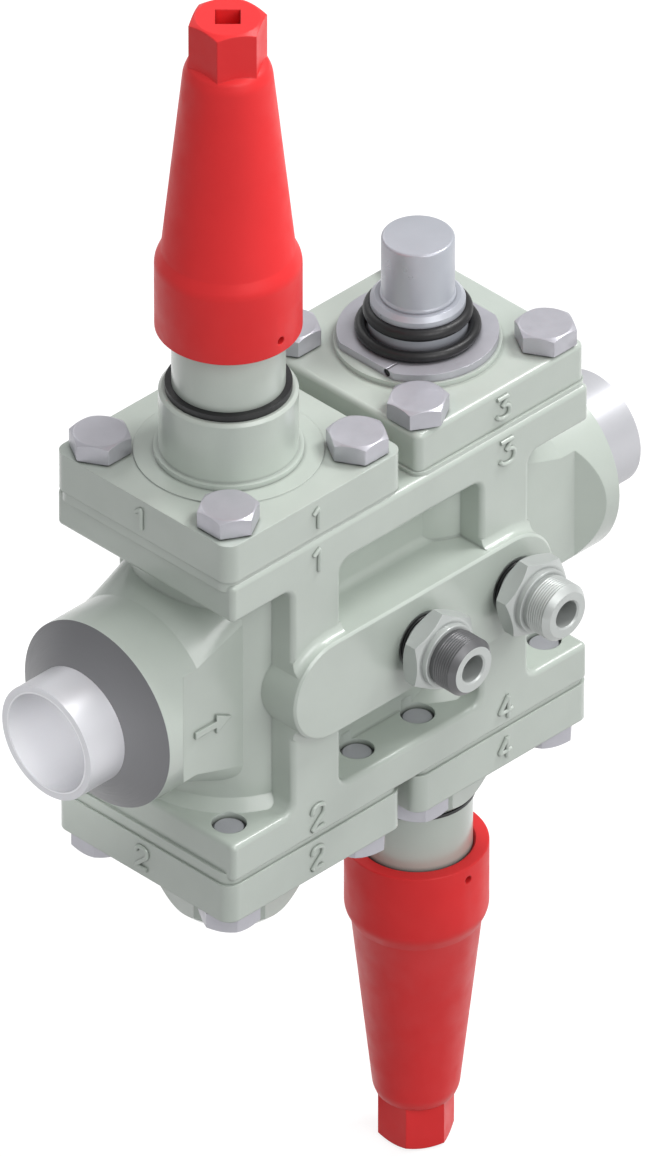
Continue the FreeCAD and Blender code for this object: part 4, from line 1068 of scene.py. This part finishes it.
@dataclass(frozen=True)
class Lamp:
    """A soft area light and the way from the station to it."""

    name: str
    direction: Direction
    distance: float
    power: float
    size: float


@dataclass
class Studio:
    """The camera, the pale floor and the soft lights."""

    frame_height: float = 391.14 * MM
    aim_height: float = 1.9 * MM
    lens: float = 900.0
    sensor: float = 36.0
    far_clip: float = 100.0
    floor_gap: float = 0.5 * MM
    floor_size: float = 60.0
    floor_colour: Colour = (0.28, 0.28, 0.28)
    floor_glow: float = 0.84
    sky_colour: Colour = (0.98, 0.99, 1.0)
    sky_light: float = 0.50
    sky_seen: float = 1.0
    lights: tuple[Lamp, ...] = (
        Lamp("front_key", (-0.05, -0.75, 0.60), distance=1.9, power=14.0, size=1.1),
        Lamp("top_key", (0.50, -0.22, 0.80), distance=1.9, power=18.5, size=0.6),
        Lamp("rear", (0.3, 1.0, 0.8), distance=2.2, power=5.0, size=1.1),
    )
    spot_direction: Direction = (-1.0, -0.9, 0.9)
    spot_aim: float = -1 * MM
    spot_distance: float = 1.0
    spot_power: float = 55.0
    spot_degrees: float = 2.8
    spot_blend: float = 0.4
    spot_softness: float = 0.03

    def camera(self) -> None:
        """Sets the camera at the photograph's angle, aimed just above the housing's middle."""
        data = bpy.data.cameras.new("camera")
        data.lens = self.lens
        data.sensor_width = self.sensor
        data.clip_end = self.far_clip
        distance = self.frame_height * self.lens / self.sensor
        aim = Vector((MIDDLE_X, 0, self.aim_height))
        bpy.context.scene.camera = self.aimed("camera", data, aim, (-1, -1, 1), distance)

    def aimed(self, name: str, data: bpy.types.ID, aim: Vector, direction: Direction,
              distance: float) -> bpy.types.Object:
        """Adds a camera or a light that looks back at a point.

        Args:
            name: The object's name.
            data: Its camera or light.
            aim: The point that it looks at.
            direction: The way from that point to the object.
            distance: How far away it stands.

        Returns:
            The new object.
        """
        obj = bpy.data.objects.new(name, data)
        bpy.context.scene.collection.objects.link(obj)
        away = Vector(direction).normalized()
        obj.location = aim + away * distance
        obj.rotation_mode = "QUATERNION"
        obj.rotation_quaternion = (-away).to_track_quat("-Z", "Y")
        return obj

    def floor(self) -> None:
        """Lays the floor just under the station."""
        shape = bmesh.new()
        place = Matrix.Translation((MIDDLE_X, 0, CAD_BOX[0].z - self.floor_gap))
        bmesh.ops.create_grid(shape, x_segments=1, y_segments=1, size=self.floor_size / 2,
                              matrix=place)
        floor = bpy.data.objects.new("floor", as_mesh("floor", shape))
        bpy.context.scene.collection.objects.link(floor)
        sheet = Sheet("pale_floor")
        matt = sheet.add("ShaderNodeBsdfDiffuse", {"Color": shade(self.floor_colour)}).outputs[0]
        strength = sheet.maths("MULTIPLY", self.seen_directly(sheet), self.floor_glow)
        glow = sheet.add("ShaderNodeEmission", {"Strength": strength}).outputs[0]
        top = sheet.add("ShaderNodeAddShader", {0: matt, 1: glow}).outputs[0]
        under = sheet.add("ShaderNodeBsdfTransparent", {}).outputs[0]
        below = sheet.add("ShaderNodeNewGeometry", {}).outputs["Backfacing"]
        both = sheet.add("ShaderNodeMixShader", {0: below, 1: top, 2: under})
        floor.data.materials.append(sheet.finish(both.outputs[0]))

    def seen_directly(self, sheet: Sheet) -> bpy.types.NodeSocket:
        """Whether a ray comes from the camera, a gloss or through glass."""
        path = sheet.add("ShaderNodeLightPath", {}).outputs
        gloss = sheet.maths("MAXIMUM", path["Is Glossy Ray"], path["Is Transmission Ray"])
        return sheet.maths("MAXIMUM", path["Is Camera Ray"], gloss)

    def world(self) -> None:
        """Fills the room with soft light from a pale sky, which the camera sees brighter."""
        world = bpy.data.worlds.new("room")
        world.use_nodes = True
        bpy.context.scene.world = world
        tree = world.node_tree
        tree.nodes.clear()
        add, link = tree.nodes.new, tree.links.new
        path, strength = add("ShaderNodeLightPath"), add("ShaderNodeMapRange")
        shader, out = add("ShaderNodeBackground"), add("ShaderNodeOutputWorld")
        strength.inputs["To Min"].default_value = self.sky_light
        strength.inputs["To Max"].default_value = self.sky_seen
        link(path.outputs["Is Camera Ray"], strength.inputs["Value"])
        link(strength.outputs["Result"], shader.inputs["Strength"])
        shader.inputs["Color"].default_value = shade(self.sky_colour)
        link(shader.outputs["Background"], out.inputs["Surface"])

    def lamps(self) -> None:
        """Hangs the soft area lights round the station."""
        aim = Vector((MIDDLE_X, 0, 0))
        for lamp in self.lights:
            data = bpy.data.lights.new(lamp.name, "AREA")
            data.energy = lamp.power
            data.size = lamp.size
            self.aimed(lamp.name, data, aim, lamp.direction, lamp.distance)

    def pipe_spot(self) -> None:
        """Aims a narrow spot into the open inlet pipe."""
        data = bpy.data.lights.new("pipe_spot", "SPOT")
        data.energy = self.spot_power
        data.spot_size = math.radians(self.spot_degrees)
        data.spot_blend = self.spot_blend
        data.shadow_soft_size = self.spot_softness
        aim = Vector((self.spot_aim, 0, 0))
        self.aimed("pipe_spot", data, aim, self.spot_direction, self.spot_distance)

    def build(self) -> None:
        """Sets up the whole studio."""
        self.pipe_spot()
        self.camera()
        self.floor()
        self.world()
        self.lamps()
        bpy.context.scene.view_settings.view_transform = "Standard"


def main() -> None:
    """Builds the studio and every sub-assembly of the station."""
    logging.basicConfig(level=logging.INFO, format="%(message)s")
    Studio().build()
    workshop = Workshop()
    workshop.dress_nodes()
    for node, upside_down in (("inlet_stop_cap", False), ("outlet_stop_cap", True)):
        ProtectingCap(node, upside_down).build(workshop)
    for node, upside_down in (("inlet_stop_cover_bolts", False), ("motor_valve_cover_bolts", False),
                              ("strainer_cover_bolts", True), ("outlet_stop_cover_bolts", True)):
        BoltSet(node, upside_down).build(workshop)
    MotorValveTop().build(workshop)
    SideNipple("first_nipple", "machined_steel", "blackened_steel", 30.0).build(workshop)
    SideNipple("second_nipple", "zinc_plated_steel", "nipple_steel", 45.0).build(workshop)
    CastMarks().build(workshop)


if __name__ == "__main__":
    main()
